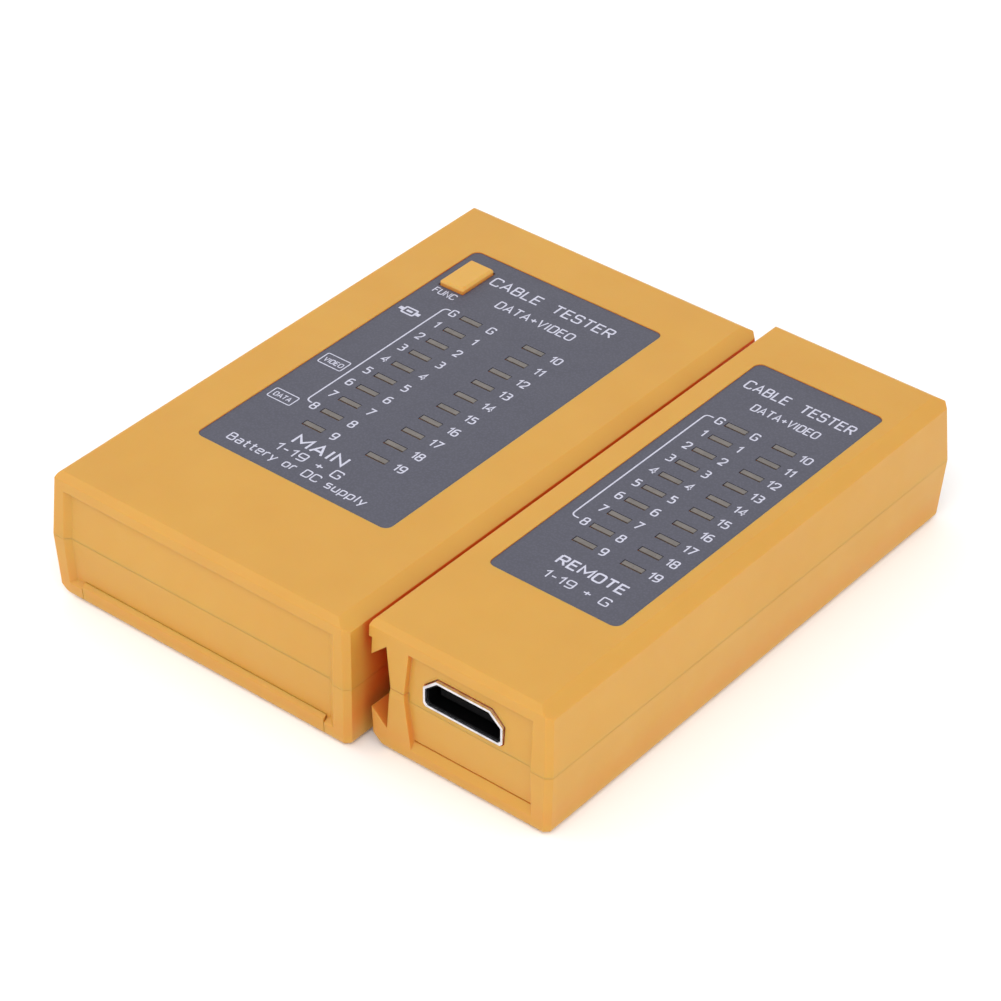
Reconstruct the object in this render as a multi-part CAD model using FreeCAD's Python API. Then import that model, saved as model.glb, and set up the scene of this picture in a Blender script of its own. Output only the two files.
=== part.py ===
import FreeCAD, Part
import math
import os

V = FreeCAD.Vector

# A two-piece network cable tester: a main unit and a remote unit lying side by side on a table.
# Layout frame while modelling: x across both units, y from the front end to the rear end, z up,
# with zero at the main unit's front left bottom corner.  The export moves the origin to the bottom
# centre of the whole object.  All lengths are millimetres.

# ---- driving dimensions of both cases ----
CASE_LENGTH = 104.0         # along y, at the parting line
CASE_HEIGHT = 23.4
PARTING_Z = 11.8            # where the upper and lower shells meet
DRAFT = 0.75                # how far a wall leans in from the parting line to the top or bottom
LEFT_DRAFT = 0.5            # the same for the main unit's left wall
WALL = 2.0
MAIN_WIDTH = 61.0           # along x, at the parting line
REMOTE_WIDTH = 34.0
UNIT_GAP = 1.37             # free space between the two units
REMOTE_SHIFT = 3.5          # the remote unit lies this much further back
REMOTE_X = MAIN_WIDTH + UNIT_GAP

# ---- edges ----
TOP_BEVEL_Y = 1.2           # front and rear top edges, along y
TOP_BEVEL_Z = 0.85
CORNER_BEVEL = 0.92         # upright corners on the chamfered side
SIDE_CHAMFER_X = 2.45       # long top edge on the right
SIDE_CHAMFER_Z = 1.5
LEFT_EDGE_RADIUS = 0.7
MAIN_BOTTOM_RADIUS = 1.4
REMOTE_BOTTOM_RADIUS = 1.5
MAIN_LEFT_BEVEL = 1.9       # long bottom edge on the left
REMOTE_LEFT_BEVEL = 2.5
SEAM_BEVEL = 0.08
SEAM_GAP = 0.06             # where the remote's seam steps up beside the channel

# ---- end recesses: x at the top, at the waist and at the bottom of each upright edge ----
RECESS_DEPTH = 0.85         # behind the leaning end face, all the way up
SOCKET_FACE = 0.95          # how far behind the parting line the plastic sockets' mouths lie
RECESS_TOP = 20.75
MAIN_RECESS_LEFT = (2.3, 2.22, 2.3)
MAIN_RECESS_RIGHT = (57.8, 58.1, 57.6)
MAIN_RECESS_BOTTOM = 2.9
MAIN_RECESS_SLOPE = (1.0, 1.3, 0.8, 0.6)    # inward run of the left, right, top and bottom sides
REMOTE_RECESS_LEFT = (7.0, 6.5, 7.35)
REMOTE_RECESS_RIGHT = (30.3, 30.45, 30.3)
REMOTE_RECESS_BOTTOM = 2.75
REMOTE_RECESS_SLOPE = (0.1, 0.5, 0.6, 1.35)
REMOTE_GROOVE = (0.3, 0.55)                 # width and depth of the groove at the recess's foot
INNER_FRONT = 3.4
INNER_REAR = CASE_LENGTH - INNER_FRONT
CEILING = 21.4              # underside of the top wall
SIDE_WALL = 2.2

# ---- labels ----
POCKET_DEPTH = 0.4
LABEL_THICK = 0.25
LABEL_GAP = 0.05
LABEL_RADIUS = 1.4
LABEL_FRONT = 22.45
LABEL_REAR = 91.95
MAIN_LABEL = (9.87, 49.53)
REMOTE_LABEL = (3.79, 28.51)

# ---- indicator windows: two columns of ten ----
ROWS = 10
ROW_FIRST = 35.88
ROW_PITCH = 4.315
MAIN_COLUMNS = (22.83, 36.0)
REMOTE_COLUMNS = (11.9, 21.1)
LABEL_WINDOW = (4.1, 1.4)   # cut in the label
CASE_WINDOW = (4.0, 1.1)    # cut in the case, towards the rear of the label's cut
CASE_WINDOW_SHIFT = 0.13
LED_LENS = (3.84, 0.94)
LED_BASE = (5.0, 2.0)

# ---- circuit boards ----
BOARD_BOTTOM = 17.5
BOARD_THICK = 1.6
BOARD_TOP = BOARD_BOTTOM + BOARD_THICK

# ---- function button and its switch ----
BUTTON_CENTRE = (14.15, 84.2)
BUTTON_SIZE = (5.05, 8.4)
BUTTON_TOP = 24.2
BUTTON_CLEARANCE = 0.12
BUTTON_FLANGE = 0.9         # how far the retaining flange stands out all round
FLANGE_THICK = 0.7
BUTTON_TRAVEL = 0.5
BUTTON_RIM = 0.4            # bevel round the top
SWITCH_SIDE = 6.0
SWITCH_HEIGHT = 0.9
PLUNGER_RADIUS = 1.6

# ---- docking rail (main unit) and docking channel (remote unit) ----
CHANNEL_MOUTH = (7.7, 17.64)        # z range at the lips
CHANNEL_INNER = (4.72, 20.2)        # z range at the floor
CHANNEL_DEPTH = 2.8                 # at the top and bottom of the floor
CHANNEL_DEPTH_MID = 3.9             # at the waist
CHANNEL_WAIST_Z = 13.3
RAIL_CLEARANCE = 0.35
RAIL_REACH = 2.4
RAIL_ENDS = (8.0, 96.0)
TOP_LEDGE = 0.6                     # the remote's top plate stands out over the channel
TOP_LEDGE_Z = 20.6
CHANNEL_WALL = 6.0                  # x where the remote's cavity starts
SEAM_STEP_X = 6.8                   # left of this the remote's seam runs at the channel's waist

# ---- battery bay ----
BATTERY = (46.4, 26.5, 17.5)
BATTERY_X = 5.6
BATTERY_Y = 5.0
BATTERY_Z = 2.35
TERMINAL_REACH = 2.1
TERMINAL_SPACING = 12.7
PARTITION_Y = 32.2
PARTITION_THICK = 1.0
LEAD_GAP_X = (53.6, 56.6)           # the gap in the partition that the battery leads pass through
LEAD_GAP_Z = 7.0
DOOR_OPENING = (5.0, 55.6)
DOOR_REAR = 32.0
DOOR_FRONT = 0.75
DOOR_PLATE = 1.3                    # outer plate; the tongues start above it
DOOR_TOP = 2.0
DOOR_CREASE = 3.4                   # height of the door's front face
DOOR_RIDGE = 4.0                    # top of the slope behind it, which meets the recess floor
DOOR_TONGUE = 0.9                   # reach of the side tongues over the ledges
DOOR_TONGUES = [(11.0, 15.0), (24.0, 28.0)]
DOOR_TRAVEL = 5.0                   # slide forward before the tongues clear the ledges
DOOR_GAP = 0.12
DOOR_LIP_GAP = 0.04                  # behind the lip

# ---- sockets ----
VIDEO_OUTER = (15.0, 5.55)
VIDEO_WALL = 0.38
VIDEO_CORNER = (2.4, 2.1)
VIDEO_DEPTH = 11.8
VIDEO_LINING = 0.3                  # black sleeve inside the metal shell
VIDEO_SLEEVE_START = 0.45           # behind the mouth
VIDEO_BLOCK_START = 8.2
VIDEO_CENTRE_Z = 15.55
VIDEO_MOUTH = 0.65                  # distance of the mouth behind the parting line
VIDEO_PINS = 19
JACK_WIDTH = 15.9
JACK_HEIGHT = 13.2
JACK_DEPTH = 18.0
JACK_WIRES = 8
JACK_WIRE_PITCH = 1.02
POWER_WIDTH = 9.0
POWER_HEIGHT = 11.0
POWER_DEPTH = 13.0
POWER_BORE_R = 2.85
POWER_PIN_R = 1.0
CUTOUT_GAP = 0.12

MAIN_JACK_X = 17.6
MAIN_VIDEO_X = 34.6
MAIN_POWER_X = 47.4
REMOTE_VIDEO_X = 17.2
REMOTE_JACK_X = 18.4

# ---- screws ----
MAIN_SCREWS = [(6.0, 40.6), (55.0, 40.6), (6.0, 90.5), (55.0, 90.5)]
REMOTE_SCREWS = [(16.5, 24.0), (16.5, 79.3)]
MAIN_BOARD_SCREWS = [(10.5, 58.0), (49.0, 58.0)]
REMOTE_BOARD_SCREWS = [(28.6, 29.0), (28.6, 77.0)]
BOSS_R = 3.1
SCREW_R = 1.15
SCREW_HEAD_R = 2.3
SCREW_HEAD_Z = 5.0                  # where the head seats inside the boss
BOARD_POST_R = 2.0
BOARD_SCREW_R = 0.9

# The whole object's middle, which becomes the origin.
ORIGIN = V((REMOTE_X + REMOTE_WIDTH - RAIL_REACH) / 2, (CASE_LENGTH + REMOTE_SHIFT) / 2, 0)


# ---------------------------------------------------------------- small makers

def box(x, y, z):
    """A box from three (low, high) pairs."""
    return Part.makeBox(x[1] - x[0], y[1] - y[0], z[1] - z[0], V(x[0], y[0], z[0]))


def centred_box(centre, size, z):
    """A box centred on (x, y) with size (along x, along y)."""
    x = (centre[0] - size[0] / 2, centre[0] + size[0] / 2)
    y = (centre[1] - size[1] / 2, centre[1] + size[1] / 2)
    return box(x, y, z)


def rod(centre, radius, start, length, axis):
    """A cylinder: centre holds the two other coordinates, in x, y, z order."""
    if axis == "x":
        return Part.makeCylinder(radius, length, V(start, centre[0], centre[1]), V(1, 0, 0))
    if axis == "y":
        return Part.makeCylinder(radius, length, V(centre[0], start, centre[1]), V(0, 1, 0))
    return Part.makeCylinder(radius, length, V(centre[0], centre[1], start), V(0, 0, 1))


def prism(points, start, end, axis):
    """A polygon across the axis, carried along it from start to end."""
    if axis == "x":
        corners = [V(start, a, b) for a, b in points]
        reach = V(end - start, 0, 0)
    elif axis == "y":
        corners = [V(a, start, b) for a, b in points]
        reach = V(0, end - start, 0)
    else:
        corners = [V(a, b, start) for a, b in points]
        reach = V(0, 0, end - start)
    return Part.Face(Part.makePolygon(corners + corners[:1])).extrude(reach)


def edge_cutter(p, q, start, end, axis):
    """A prism on the outer side of the line p to q, which takes an edge off as a bevel."""
    length = math.hypot(q[0] - p[0], q[1] - p[1])
    along = ((q[0] - p[0]) / length, (q[1] - p[1]) / length)
    out = (-along[1], along[0])
    over = 2.0
    a = (p[0] - over * along[0], p[1] - over * along[1])
    b = (q[0] + over * along[0], q[1] + over * along[1])
    c = (b[0] + 3 * out[0], b[1] + 3 * out[1])
    d = (a[0] + 3 * out[0], a[1] + 3 * out[1])
    return prism([a, b, c, d], start, end, axis)


def rectangle_wire(x, y, z):
    corners = [V(x[0], y[0], z), V(x[1], y[0], z), V(x[1], y[1], z), V(x[0], y[1], z)]
    return Part.makePolygon(corners + corners[:1])


def tapered(x_a, y_a, z_a, x_b, y_b, z_b):
    """A solid between two level rectangles."""
    return Part.makeLoft([rectangle_wire(x_a, y_a, z_a), rectangle_wire(x_b, y_b, z_b)], True, True)


def rounded_plate(x, y, z, radius):
    plate = box(x, y, z)
    upright = [e for e in plate.Edges if abs(e.Vertexes[0].Z - e.Vertexes[1].Z) > 1e-6]
    return plate.makeFillet(radius, upright)


def edges_where(shape, test):
    """The edges whose two end points both pass the test."""
    return [e for e in shape.Edges if all(test(v.Point) for v in e.Vertexes)]


def cut_all(shape, cutters):
    return shape.cut(cutters).removeSplitter() if cutters else shape


def join(shapes):
    return shapes[0].multiFuse(shapes[1:]).removeSplitter()


# ---------------------------------------------------------------- case blocks

def case_block(left, right, left_draft, upper):
    """One drafted half of a case, solid, with its upright right corners bevelled."""
    face_z = CASE_HEIGHT if upper else 0.0
    block = tapered(
        (left, right), (0, CASE_LENGTH), PARTING_Z,
        (left + left_draft, right - DRAFT), (DRAFT, CASE_LENGTH - DRAFT), face_z,
    )
    corners = edges_where(block, lambda p: p.x > right - DRAFT - 0.1)
    corners = [e for e in corners if abs(e.Vertexes[0].Z - e.Vertexes[1].Z) > 1]
    return block.makeChamfer(CORNER_BEVEL, corners)


def round_left_top(block, left_top):
    edge = edges_where(block, lambda p: p.z > CASE_HEIGHT - 0.01 and p.x < left_top + 0.01)
    return block.makeFillet(LEFT_EDGE_RADIUS, edge)


def bevel_top(block, right):
    """The bevels at the front and rear top edges and the wide chamfer on the right."""
    lean = DRAFT / (CASE_HEIGHT - PARTING_Z)
    face_low = DRAFT - lean * TOP_BEVEL_Z
    low_z = CASE_HEIGHT - TOP_BEVEL_Z
    span = (-10.0, right + 10.0)
    front = edge_cutter((face_low, low_z), (DRAFT + TOP_BEVEL_Y, CASE_HEIGHT), span[0], span[1], "x")
    rear = edge_cutter(
        (CASE_LENGTH - DRAFT - TOP_BEVEL_Y, CASE_HEIGHT), (CASE_LENGTH - face_low, low_z),
        span[0], span[1], "x",
    )
    side = edge_cutter(
        (right - DRAFT - SIDE_CHAMFER_X, CASE_HEIGHT),
        (right - DRAFT + lean * SIDE_CHAMFER_Z, CASE_HEIGHT - SIDE_CHAMFER_Z),
        -10.0, CASE_LENGTH + 10.0, "y",
    )
    return cut_all(block, [front, rear, side])


def bevel_left_bottom(block, left_draft, bevel):
    side_x = left_draft * (1 - bevel / PARTING_Z)
    cutter = edge_cutter((left_draft + bevel, 0), (side_x, bevel), -10.0, CASE_LENGTH + 10.0, "y")
    return cut_all(block, [cutter])


def round_bottom(block, radius):
    return block.makeFillet(radius, edges_where(block, lambda p: p.z < 0.01))


def bevel_seam(block):
    return block.makeChamfer(SEAM_BEVEL, edges_where(block, lambda p: abs(p.z - PARTING_Z) < 0.01))


def end_face(z):
    """How far the leaning end face lies behind the parting line at height z."""
    if z > PARTING_Z:
        return DRAFT * (z - PARTING_Z) / (CASE_HEIGHT - PARTING_Z)
    return DRAFT * (PARTING_Z - z) / PARTING_Z


def recess_outline(left, right, top, bottom, waist_z):
    """Left top, left waist, left at the parting, left bottom, then up the right side."""
    crossing = left[1] + (left[2] - left[1]) * (waist_z - PARTING_Z) / (waist_z - bottom)
    return [
        (left[0], top), (left[1], waist_z), (crossing, PARTING_Z), (left[2], bottom),
        (right[2], bottom), (right[1], PARTING_Z), (right[0], top),
    ]


def pocket_half(outer, inner, depth, upper):
    """A sloping-sided pocket in one half's leaning end face, with its opening carried outwards."""
    lean = DRAFT / (CASE_HEIGHT - PARTING_Z) if upper else -DRAFT / PARTING_Z
    floor = []
    mouth = []
    for (out_x, out_z), (in_x, in_z) in zip(outer, inner):
        far_x = 2 * out_x - in_x
        far_z = 2 * out_z - in_z
        mouth.append(V(far_x, lean * (far_z - PARTING_Z) - depth, far_z))
        floor.append(V(in_x, lean * (in_z - PARTING_Z) + depth, in_z))
    rings = [Part.makePolygon(ring + ring[:1]) for ring in (mouth, floor)]
    return Part.makeLoft(rings, True, True)


def pocket(outer, inner, depth):
    """Both halves of a pocket at the front, and the same again at the rear."""
    upper = [0, 1, 2, 5, 6] if outer[1][1] > PARTING_Z else [0, 2, 5, 6]
    halves = []
    for picks, is_upper in ((upper, True), ([2, 3, 4, 5], False)):
        front = pocket_half([outer[n] for n in picks], [inner[n] for n in picks], depth, is_upper)
        halves += [front, front.mirror(V(0, CASE_LENGTH / 2, 0), V(0, 1, 0))]
    return halves


def recess_cutters(left, right, bottom, slope, waist_z):
    outer = recess_outline(left, right, RECESS_TOP, bottom, waist_z)
    inner = recess_outline(
        [x + slope[0] for x in left], [x - slope[1] for x in right],
        RECESS_TOP - slope[2], bottom + slope[3], waist_z,
    )
    return pocket(outer, inner, RECESS_DEPTH)


def main_recess():
    return recess_cutters(
        MAIN_RECESS_LEFT, MAIN_RECESS_RIGHT, MAIN_RECESS_BOTTOM, MAIN_RECESS_SLOPE, PARTING_Z,
    )


def remote_recess():
    """The remote's recess, with a narrow groove along its foot."""
    cutters = recess_cutters(
        REMOTE_RECESS_LEFT, REMOTE_RECESS_RIGHT, REMOTE_RECESS_BOTTOM, REMOTE_RECESS_SLOPE,
        CHANNEL_WAIST_Z,
    )
    width, deeper = REMOTE_GROOVE
    foot = REMOTE_RECESS_BOTTOM + REMOTE_RECESS_SLOPE[3]
    floor_y = end_face(foot) + RECESS_DEPTH + deeper
    run = (
        REMOTE_RECESS_LEFT[2] + REMOTE_RECESS_SLOPE[0],
        REMOTE_RECESS_RIGHT[2] - REMOTE_RECESS_SLOPE[1],
    )
    cutters.append(box(run, (0, floor_y), (foot, foot + width)))
    cutters.append(box(run, (CASE_LENGTH - floor_y, CASE_LENGTH), (foot, foot + width)))
    return cutters


def label_pocket(span):
    return rounded_plate(
        span, (LABEL_FRONT, LABEL_REAR), (CASE_HEIGHT - POCKET_DEPTH, CASE_HEIGHT + 1), LABEL_RADIUS,
    )


def window_centres(columns):
    return [(x, ROW_FIRST + ROW_PITCH * n) for x in columns for n in range(ROWS)]


def label_window_cutters(columns, z):
    return [centred_box(c, LABEL_WINDOW, z) for c in window_centres(columns)]


def lamp_centres(columns):
    return [(x, y + CASE_WINDOW_SHIFT) for x, y in window_centres(columns)]


def case_window_cutters(columns, z):
    return [centred_box(c, CASE_WINDOW, z) for c in lamp_centres(columns)]


def screw_boss(centre):
    """Lower boss: a tube that the screw's head sits in."""
    return rod(centre, BOSS_R, 0.2, PARTING_Z - 0.2, "z")


def screw_well(centre):
    """The way in for a screw: a wide well up to the seat and a clearance hole above it."""
    return [
        rod(centre, SCREW_HEAD_R + 0.3, -1.0, SCREW_HEAD_Z + 1.0, "z"),
        rod(centre, SCREW_R + 0.15, -1.0, PARTING_Z + 2.0, "z"),
    ]


def screw_post(centre):
    """Upper post that the screw bites into."""
    post = rod(centre, BOSS_R - 0.4, PARTING_Z, CEILING - PARTING_Z + 0.2, "z")
    return post.cut(rod(centre, SCREW_R, PARTING_Z - 1, 8.0, "z"))


def board_post(centre):
    post = rod(centre, BOARD_POST_R, BOARD_TOP, CEILING - BOARD_TOP + 0.2, "z")
    return post.cut(rod(centre, BOARD_SCREW_R, BOARD_TOP - 1, 3.2, "z"))


# ---------------------------------------------------------------- main unit

def main_rail():
    """The dovetail rail on the left wall, which the remote's channel slides along."""
    low, high = CHANNEL_MOUTH[0] + RAIL_CLEARANCE, CHANNEL_MOUTH[1] - RAIL_CLEARANCE
    flare = RAIL_REACH * (CHANNEL_INNER[1] - CHANNEL_MOUTH[1]) / CHANNEL_DEPTH
    outline = [
        (1.5, low), (0, low), (-RAIL_REACH, low - flare),
        (-RAIL_REACH, high + flare), (0, high), (1.5, high),
    ]
    return prism(outline, RAIL_ENDS[0], RAIL_ENDS[1], "y")


def main_cavity(z):
    return box((SIDE_WALL, MAIN_WIDTH - SIDE_WALL), (INNER_FRONT, INNER_REAR), z)


def button_shape(grow, z):
    size = (BUTTON_SIZE[0] + 2 * grow, BUTTON_SIZE[1] + 2 * grow)
    return centred_box(BUTTON_CENTRE, size, z)


def main_socket_cutouts():
    """Holes in the rear wall for the three sockets."""
    y = (INNER_REAR - 1, CASE_LENGTH + 1)
    jack_x = (MAIN_JACK_X - JACK_WIDTH / 2 - CUTOUT_GAP, MAIN_JACK_X + JACK_WIDTH / 2 + CUTOUT_GAP)
    jack = box(jack_x, y, (BOARD_BOTTOM - JACK_HEIGHT - CUTOUT_GAP, BOARD_BOTTOM + CUTOUT_GAP))
    video = video_outline(MAIN_VIDEO_X, CUTOUT_GAP, y[0], y[1])
    power_z = (BOARD_BOTTOM - POWER_HEIGHT - CUTOUT_GAP, BOARD_BOTTOM + CUTOUT_GAP)
    power_half = POWER_WIDTH / 2 + CUTOUT_GAP
    power_x = (MAIN_POWER_X - power_half, MAIN_POWER_X + power_half)
    return [jack, video, box(power_x, y, power_z)]


def main_top_shell():
    block = case_block(0, MAIN_WIDTH, LEFT_DRAFT, True)
    block = round_left_top(block, LEFT_DRAFT)
    block = bevel_top(block, MAIN_WIDTH)
    rail = main_rail().common(box((-10, 10), (-10, 200), (PARTING_Z, 50)))
    block = join([block, rail])
    cutters = [main_cavity((PARTING_Z - 1, CEILING)), label_pocket(MAIN_LABEL)]
    cutters += main_recess()
    cutters += case_window_cutters(MAIN_COLUMNS, (CEILING - 1, CASE_HEIGHT + 1))
    cutters.append(button_shape(BUTTON_CLEARANCE, (CEILING - 1, CASE_HEIGHT + 1)))
    cutters += main_socket_cutouts()
    shell = cut_all(block, cutters)
    partition = box(
        (SIDE_WALL - 0.3, MAIN_WIDTH - SIDE_WALL + 0.3),
        (PARTITION_Y, PARTITION_Y + PARTITION_THICK), (PARTING_Z + 4.0, CEILING + 0.3),
    )
    posts = [screw_post(c) for c in MAIN_SCREWS] + [board_post(c) for c in MAIN_BOARD_SCREWS]
    return join([shell, partition] + posts)


def door_passage():
    """What the bottom shell gives up for the battery door: opening, tongue slots and front slot."""
    ledge = (DOOR_OPENING[0] - DOOR_TONGUE - DOOR_GAP, DOOR_OPENING[1] + DOOR_TONGUE + DOOR_GAP)
    opening = box(DOOR_OPENING, (-5, DOOR_REAR), (-1, DOOR_TOP + 0.2))
    slot_front = DOOR_TONGUES[0][0] - DOOR_TRAVEL - DOOR_GAP
    slots = box(ledge, (slot_front, DOOR_REAR), (DOOR_PLATE, DOOR_TOP + 0.2))
    ways_out = [
        box(ledge, (y[0] - DOOR_TRAVEL - DOOR_GAP, y[1] - DOOR_TRAVEL + DOOR_GAP), (-1, DOOR_TOP))
        for y in DOOR_TONGUES
    ]
    front = prism(
        [
            (-5, DOOR_PLATE), (end_face(DOOR_PLATE) + RECESS_DEPTH, DOOR_PLATE),
            (end_face(DOOR_RIDGE) + RECESS_DEPTH, DOOR_RIDGE), (-5, DOOR_RIDGE),
        ],
        DOOR_OPENING[0], DOOR_OPENING[1], "x",
    )
    return [opening, slots, front] + ways_out


def main_bottom_shell():
    block = bevel_left_bottom(case_block(0, MAIN_WIDTH, LEFT_DRAFT, False), LEFT_DRAFT, MAIN_LEFT_BEVEL)
    block = bevel_seam(round_bottom(block, MAIN_BOTTOM_RADIUS))
    rail = main_rail().common(box((-10, 10), (-10, 200), (-5, PARTING_Z)))
    block = join([block, rail])
    cutters = [main_cavity((WALL, PARTING_Z + 1))]
    cutters += main_recess()
    cutters += main_socket_cutouts()
    shell = cut_all(block, cutters)
    partition = box(
        (SIDE_WALL - 0.3, MAIN_WIDTH - SIDE_WALL + 0.3),
        (PARTITION_Y, PARTITION_Y + PARTITION_THICK), (WALL - 0.3, PARTING_Z),
    )
    rail_y = (INNER_FRONT - 0.2, PARTITION_Y + 0.2)
    rails = [
        box((SIDE_WALL - 0.3, DOOR_OPENING[0] - 0.2), rail_y, (DOOR_TOP + 0.2, 5.0)),
        box((DOOR_OPENING[1] + 0.4, MAIN_WIDTH - SIDE_WALL + 0.3), rail_y, (DOOR_TOP + 0.2, 4.4)),
    ]
    shell = join([shell, partition] + rails + [screw_boss(c) for c in MAIN_SCREWS])
    cutters = door_passage()
    for centre in MAIN_SCREWS:
        cutters += screw_well(centre)
    lead_gap_y = (PARTITION_Y - 1, PARTITION_Y + PARTITION_THICK + 1)
    cutters.append(box(LEAD_GAP_X, lead_gap_y, (LEAD_GAP_Z, PARTING_Z + 1)))
    return cut_all(shell, cutters)


def battery_door():
    """A plate that fills the opening, a sloped lip at its front and tongues over the ledges."""
    x = (DOOR_OPENING[0] + DOOR_GAP, DOOR_OPENING[1] - DOOR_GAP)
    rear = DOOR_REAR - DOOR_GAP
    lip_back = RECESS_DEPTH - DOOR_LIP_GAP
    outline = [
        (end_face(0), 0), (end_face(DOOR_CREASE), DOOR_CREASE),
        (end_face(DOOR_RIDGE) + lip_back, DOOR_RIDGE), (end_face(DOOR_TOP) + lip_back, DOOR_TOP),
        (rear, DOOR_TOP), (rear, 0),
    ]
    plate = prism(outline, x[0], x[1], "x")
    front_low = edges_where(plate, lambda p: p.z < 0.01 and p.y < DRAFT + 0.01)
    plate = plate.makeFillet(MAIN_BOTTOM_RADIUS, front_low)
    tongues = [
        box((x[0] - DOOR_TONGUE, x[1] + DOOR_TONGUE), y, (DOOR_PLATE + 0.08, DOOR_TOP))
        for y in DOOR_TONGUES
    ]
    door = join([plate] + tongues)
    middle = (x[0] + x[1]) / 2
    grooves = [
        box((middle - 9, middle + 9), (7.0 + 2.2 * n, 8.1 + 2.2 * n), (-1, 0.45)) for n in range(5)
    ]
    return cut_all(door, grooves)


def label(span, columns, holes):
    x = (span[0] + LABEL_GAP, span[1] - LABEL_GAP)
    y = (LABEL_FRONT + LABEL_GAP, LABEL_REAR - LABEL_GAP)
    floor = CASE_HEIGHT - POCKET_DEPTH
    film = rounded_plate(x, y, (floor, floor + LABEL_THICK), LABEL_RADIUS - LABEL_GAP)
    return cut_all(film, label_window_cutters(columns, (floor - 1, floor + 1)) + holes)


def function_button():
    cap = button_shape(0, (CEILING - FLANGE_THICK, BUTTON_TOP))
    upright = [e for e in cap.Edges if abs(e.Vertexes[0].Z - e.Vertexes[1].Z) > 1e-6]
    cap = cap.makeFillet(0.5, upright)
    rim = edges_where(cap, lambda p: p.z > BUTTON_TOP - 0.01)
    cap = cap.makeChamfer(BUTTON_RIM, rim)
    flange = button_shape(BUTTON_FLANGE, (CEILING - FLANGE_THICK - 0.02, CEILING - 0.02))
    return join([cap, flange])


def switch_body():
    body = centred_box(BUTTON_CENTRE, (SWITCH_SIDE, SWITCH_SIDE), (BOARD_TOP, BOARD_TOP + SWITCH_HEIGHT))
    return body.cut(rod(BUTTON_CENTRE, PLUNGER_RADIUS + 0.1, BOARD_TOP + 0.3, 5.0, "z"))


def switch_plunger():
    top = CEILING - FLANGE_THICK - 0.02
    foot = BOARD_TOP + 0.3 + BUTTON_TRAVEL + 0.05
    return rod(BUTTON_CENTRE, PLUNGER_RADIUS, foot, top - foot, "z")


def video_notch(centre_x):
    """Room in a board for a video socket, whose mouth is at y = 0."""
    half = VIDEO_OUTER[0] / 2 + 0.3
    return box((centre_x - half, centre_x + half), (-5, VIDEO_DEPTH + 0.3), (BOARD_BOTTOM - 1, BOARD_TOP + 1))


def main_circuit_board():
    y = (PARTITION_Y + PARTITION_THICK + 0.4, INNER_REAR - 0.3)
    board = box((2.7, MAIN_WIDTH - 2.7), y, (BOARD_BOTTOM, BOARD_TOP))
    cutters = [rod(c, BOSS_R + 0.3, BOARD_BOTTOM - 1, 4, "z") for c in MAIN_SCREWS]
    for x, y in MAIN_SCREWS:
        edge = (0, x) if x < MAIN_WIDTH / 2 else (x, MAIN_WIDTH)
        cutters.append(box(edge, (y - BOSS_R - 0.3, y + BOSS_R + 0.3), (BOARD_BOTTOM - 1, BOARD_TOP + 1)))
    cutters += [rod(c, BOARD_SCREW_R + 0.2, BOARD_BOTTOM - 1, 4, "z") for c in MAIN_BOARD_SCREWS]
    cutters.append(facing_rear(video_notch(MAIN_VIDEO_X), MAIN_VIDEO_X, CASE_LENGTH - VIDEO_MOUTH))
    return cut_all(board, cutters)


def indicator_leds(columns):
    """Rectangular lamps: a wide base on the board and a slim lens up in the window."""
    lamps = []
    lens_top = CASE_HEIGHT - POCKET_DEPTH + LABEL_THICK - 0.05
    for centre in lamp_centres(columns):
        base = centred_box(centre, LED_BASE, (BOARD_TOP, CEILING - 0.1))
        lens = centred_box(centre, LED_LENS, (CEILING - 0.2, lens_top))
        lamps.append(join([base, lens]))
    return Part.makeCompound(lamps)


# ---------------------------------------------------------------- sockets

def video_profile(centre_x, grow):
    """Outline across y of a video socket: full width below, corners cut off above."""
    half = VIDEO_OUTER[0] / 2 + grow
    low = VIDEO_CENTRE_Z - VIDEO_OUTER[1] / 2 - grow
    high = VIDEO_CENTRE_Z + VIDEO_OUTER[1] / 2 + grow
    slant = 0.42 * grow
    cut_x, cut_z = VIDEO_CORNER[0] + slant, VIDEO_CORNER[1] + slant
    right = [(half - 0.5, low), (half, low + 0.5), (half, high - cut_z), (half - cut_x, high)]
    left = [(-x, z) for x, z in reversed(right)]
    return [(centre_x + x, z) for x, z in right + left]


def video_outline(centre_x, grow, y_a, y_b):
    return prism(video_profile(centre_x, grow), y_a, y_b, "y")


def video_shell(centre_x):
    """Drawn metal shell, mouth at y = 0, body towards +y."""
    outer = video_outline(centre_x, 0, 0, VIDEO_DEPTH)
    inner = video_outline(centre_x, -VIDEO_WALL, -1, VIDEO_DEPTH - VIDEO_WALL)
    return outer.cut(inner)


def video_insulator(centre_x):
    """The black plastic in the shell: a sleeve, the block at its back and the tongue."""
    skin = -VIDEO_WALL - 0.02
    body = video_outline(centre_x, skin, VIDEO_SLEEVE_START, VIDEO_DEPTH - VIDEO_WALL - 0.02)
    hollow = video_outline(centre_x, skin - VIDEO_LINING, -1, VIDEO_BLOCK_START)
    tongue_z = (VIDEO_CENTRE_Z - 0.75, VIDEO_CENTRE_Z + 0.45)
    tongue = box((centre_x - 5.4, centre_x + 5.4), (1.6, VIDEO_BLOCK_START + 0.2), tongue_z)
    return join([body.cut(hollow), tongue])


def video_contacts(centre_x):
    """Nineteen flat strips in two staggered rows, ten below the tongue and nine above it."""
    strips = []
    low, high = VIDEO_CENTRE_Z - 0.75, VIDEO_CENTRE_Z + 0.45
    for n in range(VIDEO_PINS):
        below = n % 2 == 0
        x = centre_x + (n - (VIDEO_PINS - 1) / 2) * 0.5
        z = (low - 0.12, low) if below else (high, high + 0.12)
        strips.append(box((x - 0.15, x + 0.15), (2.0, VIDEO_BLOCK_START), z))
    return Part.makeCompound(strips)


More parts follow.
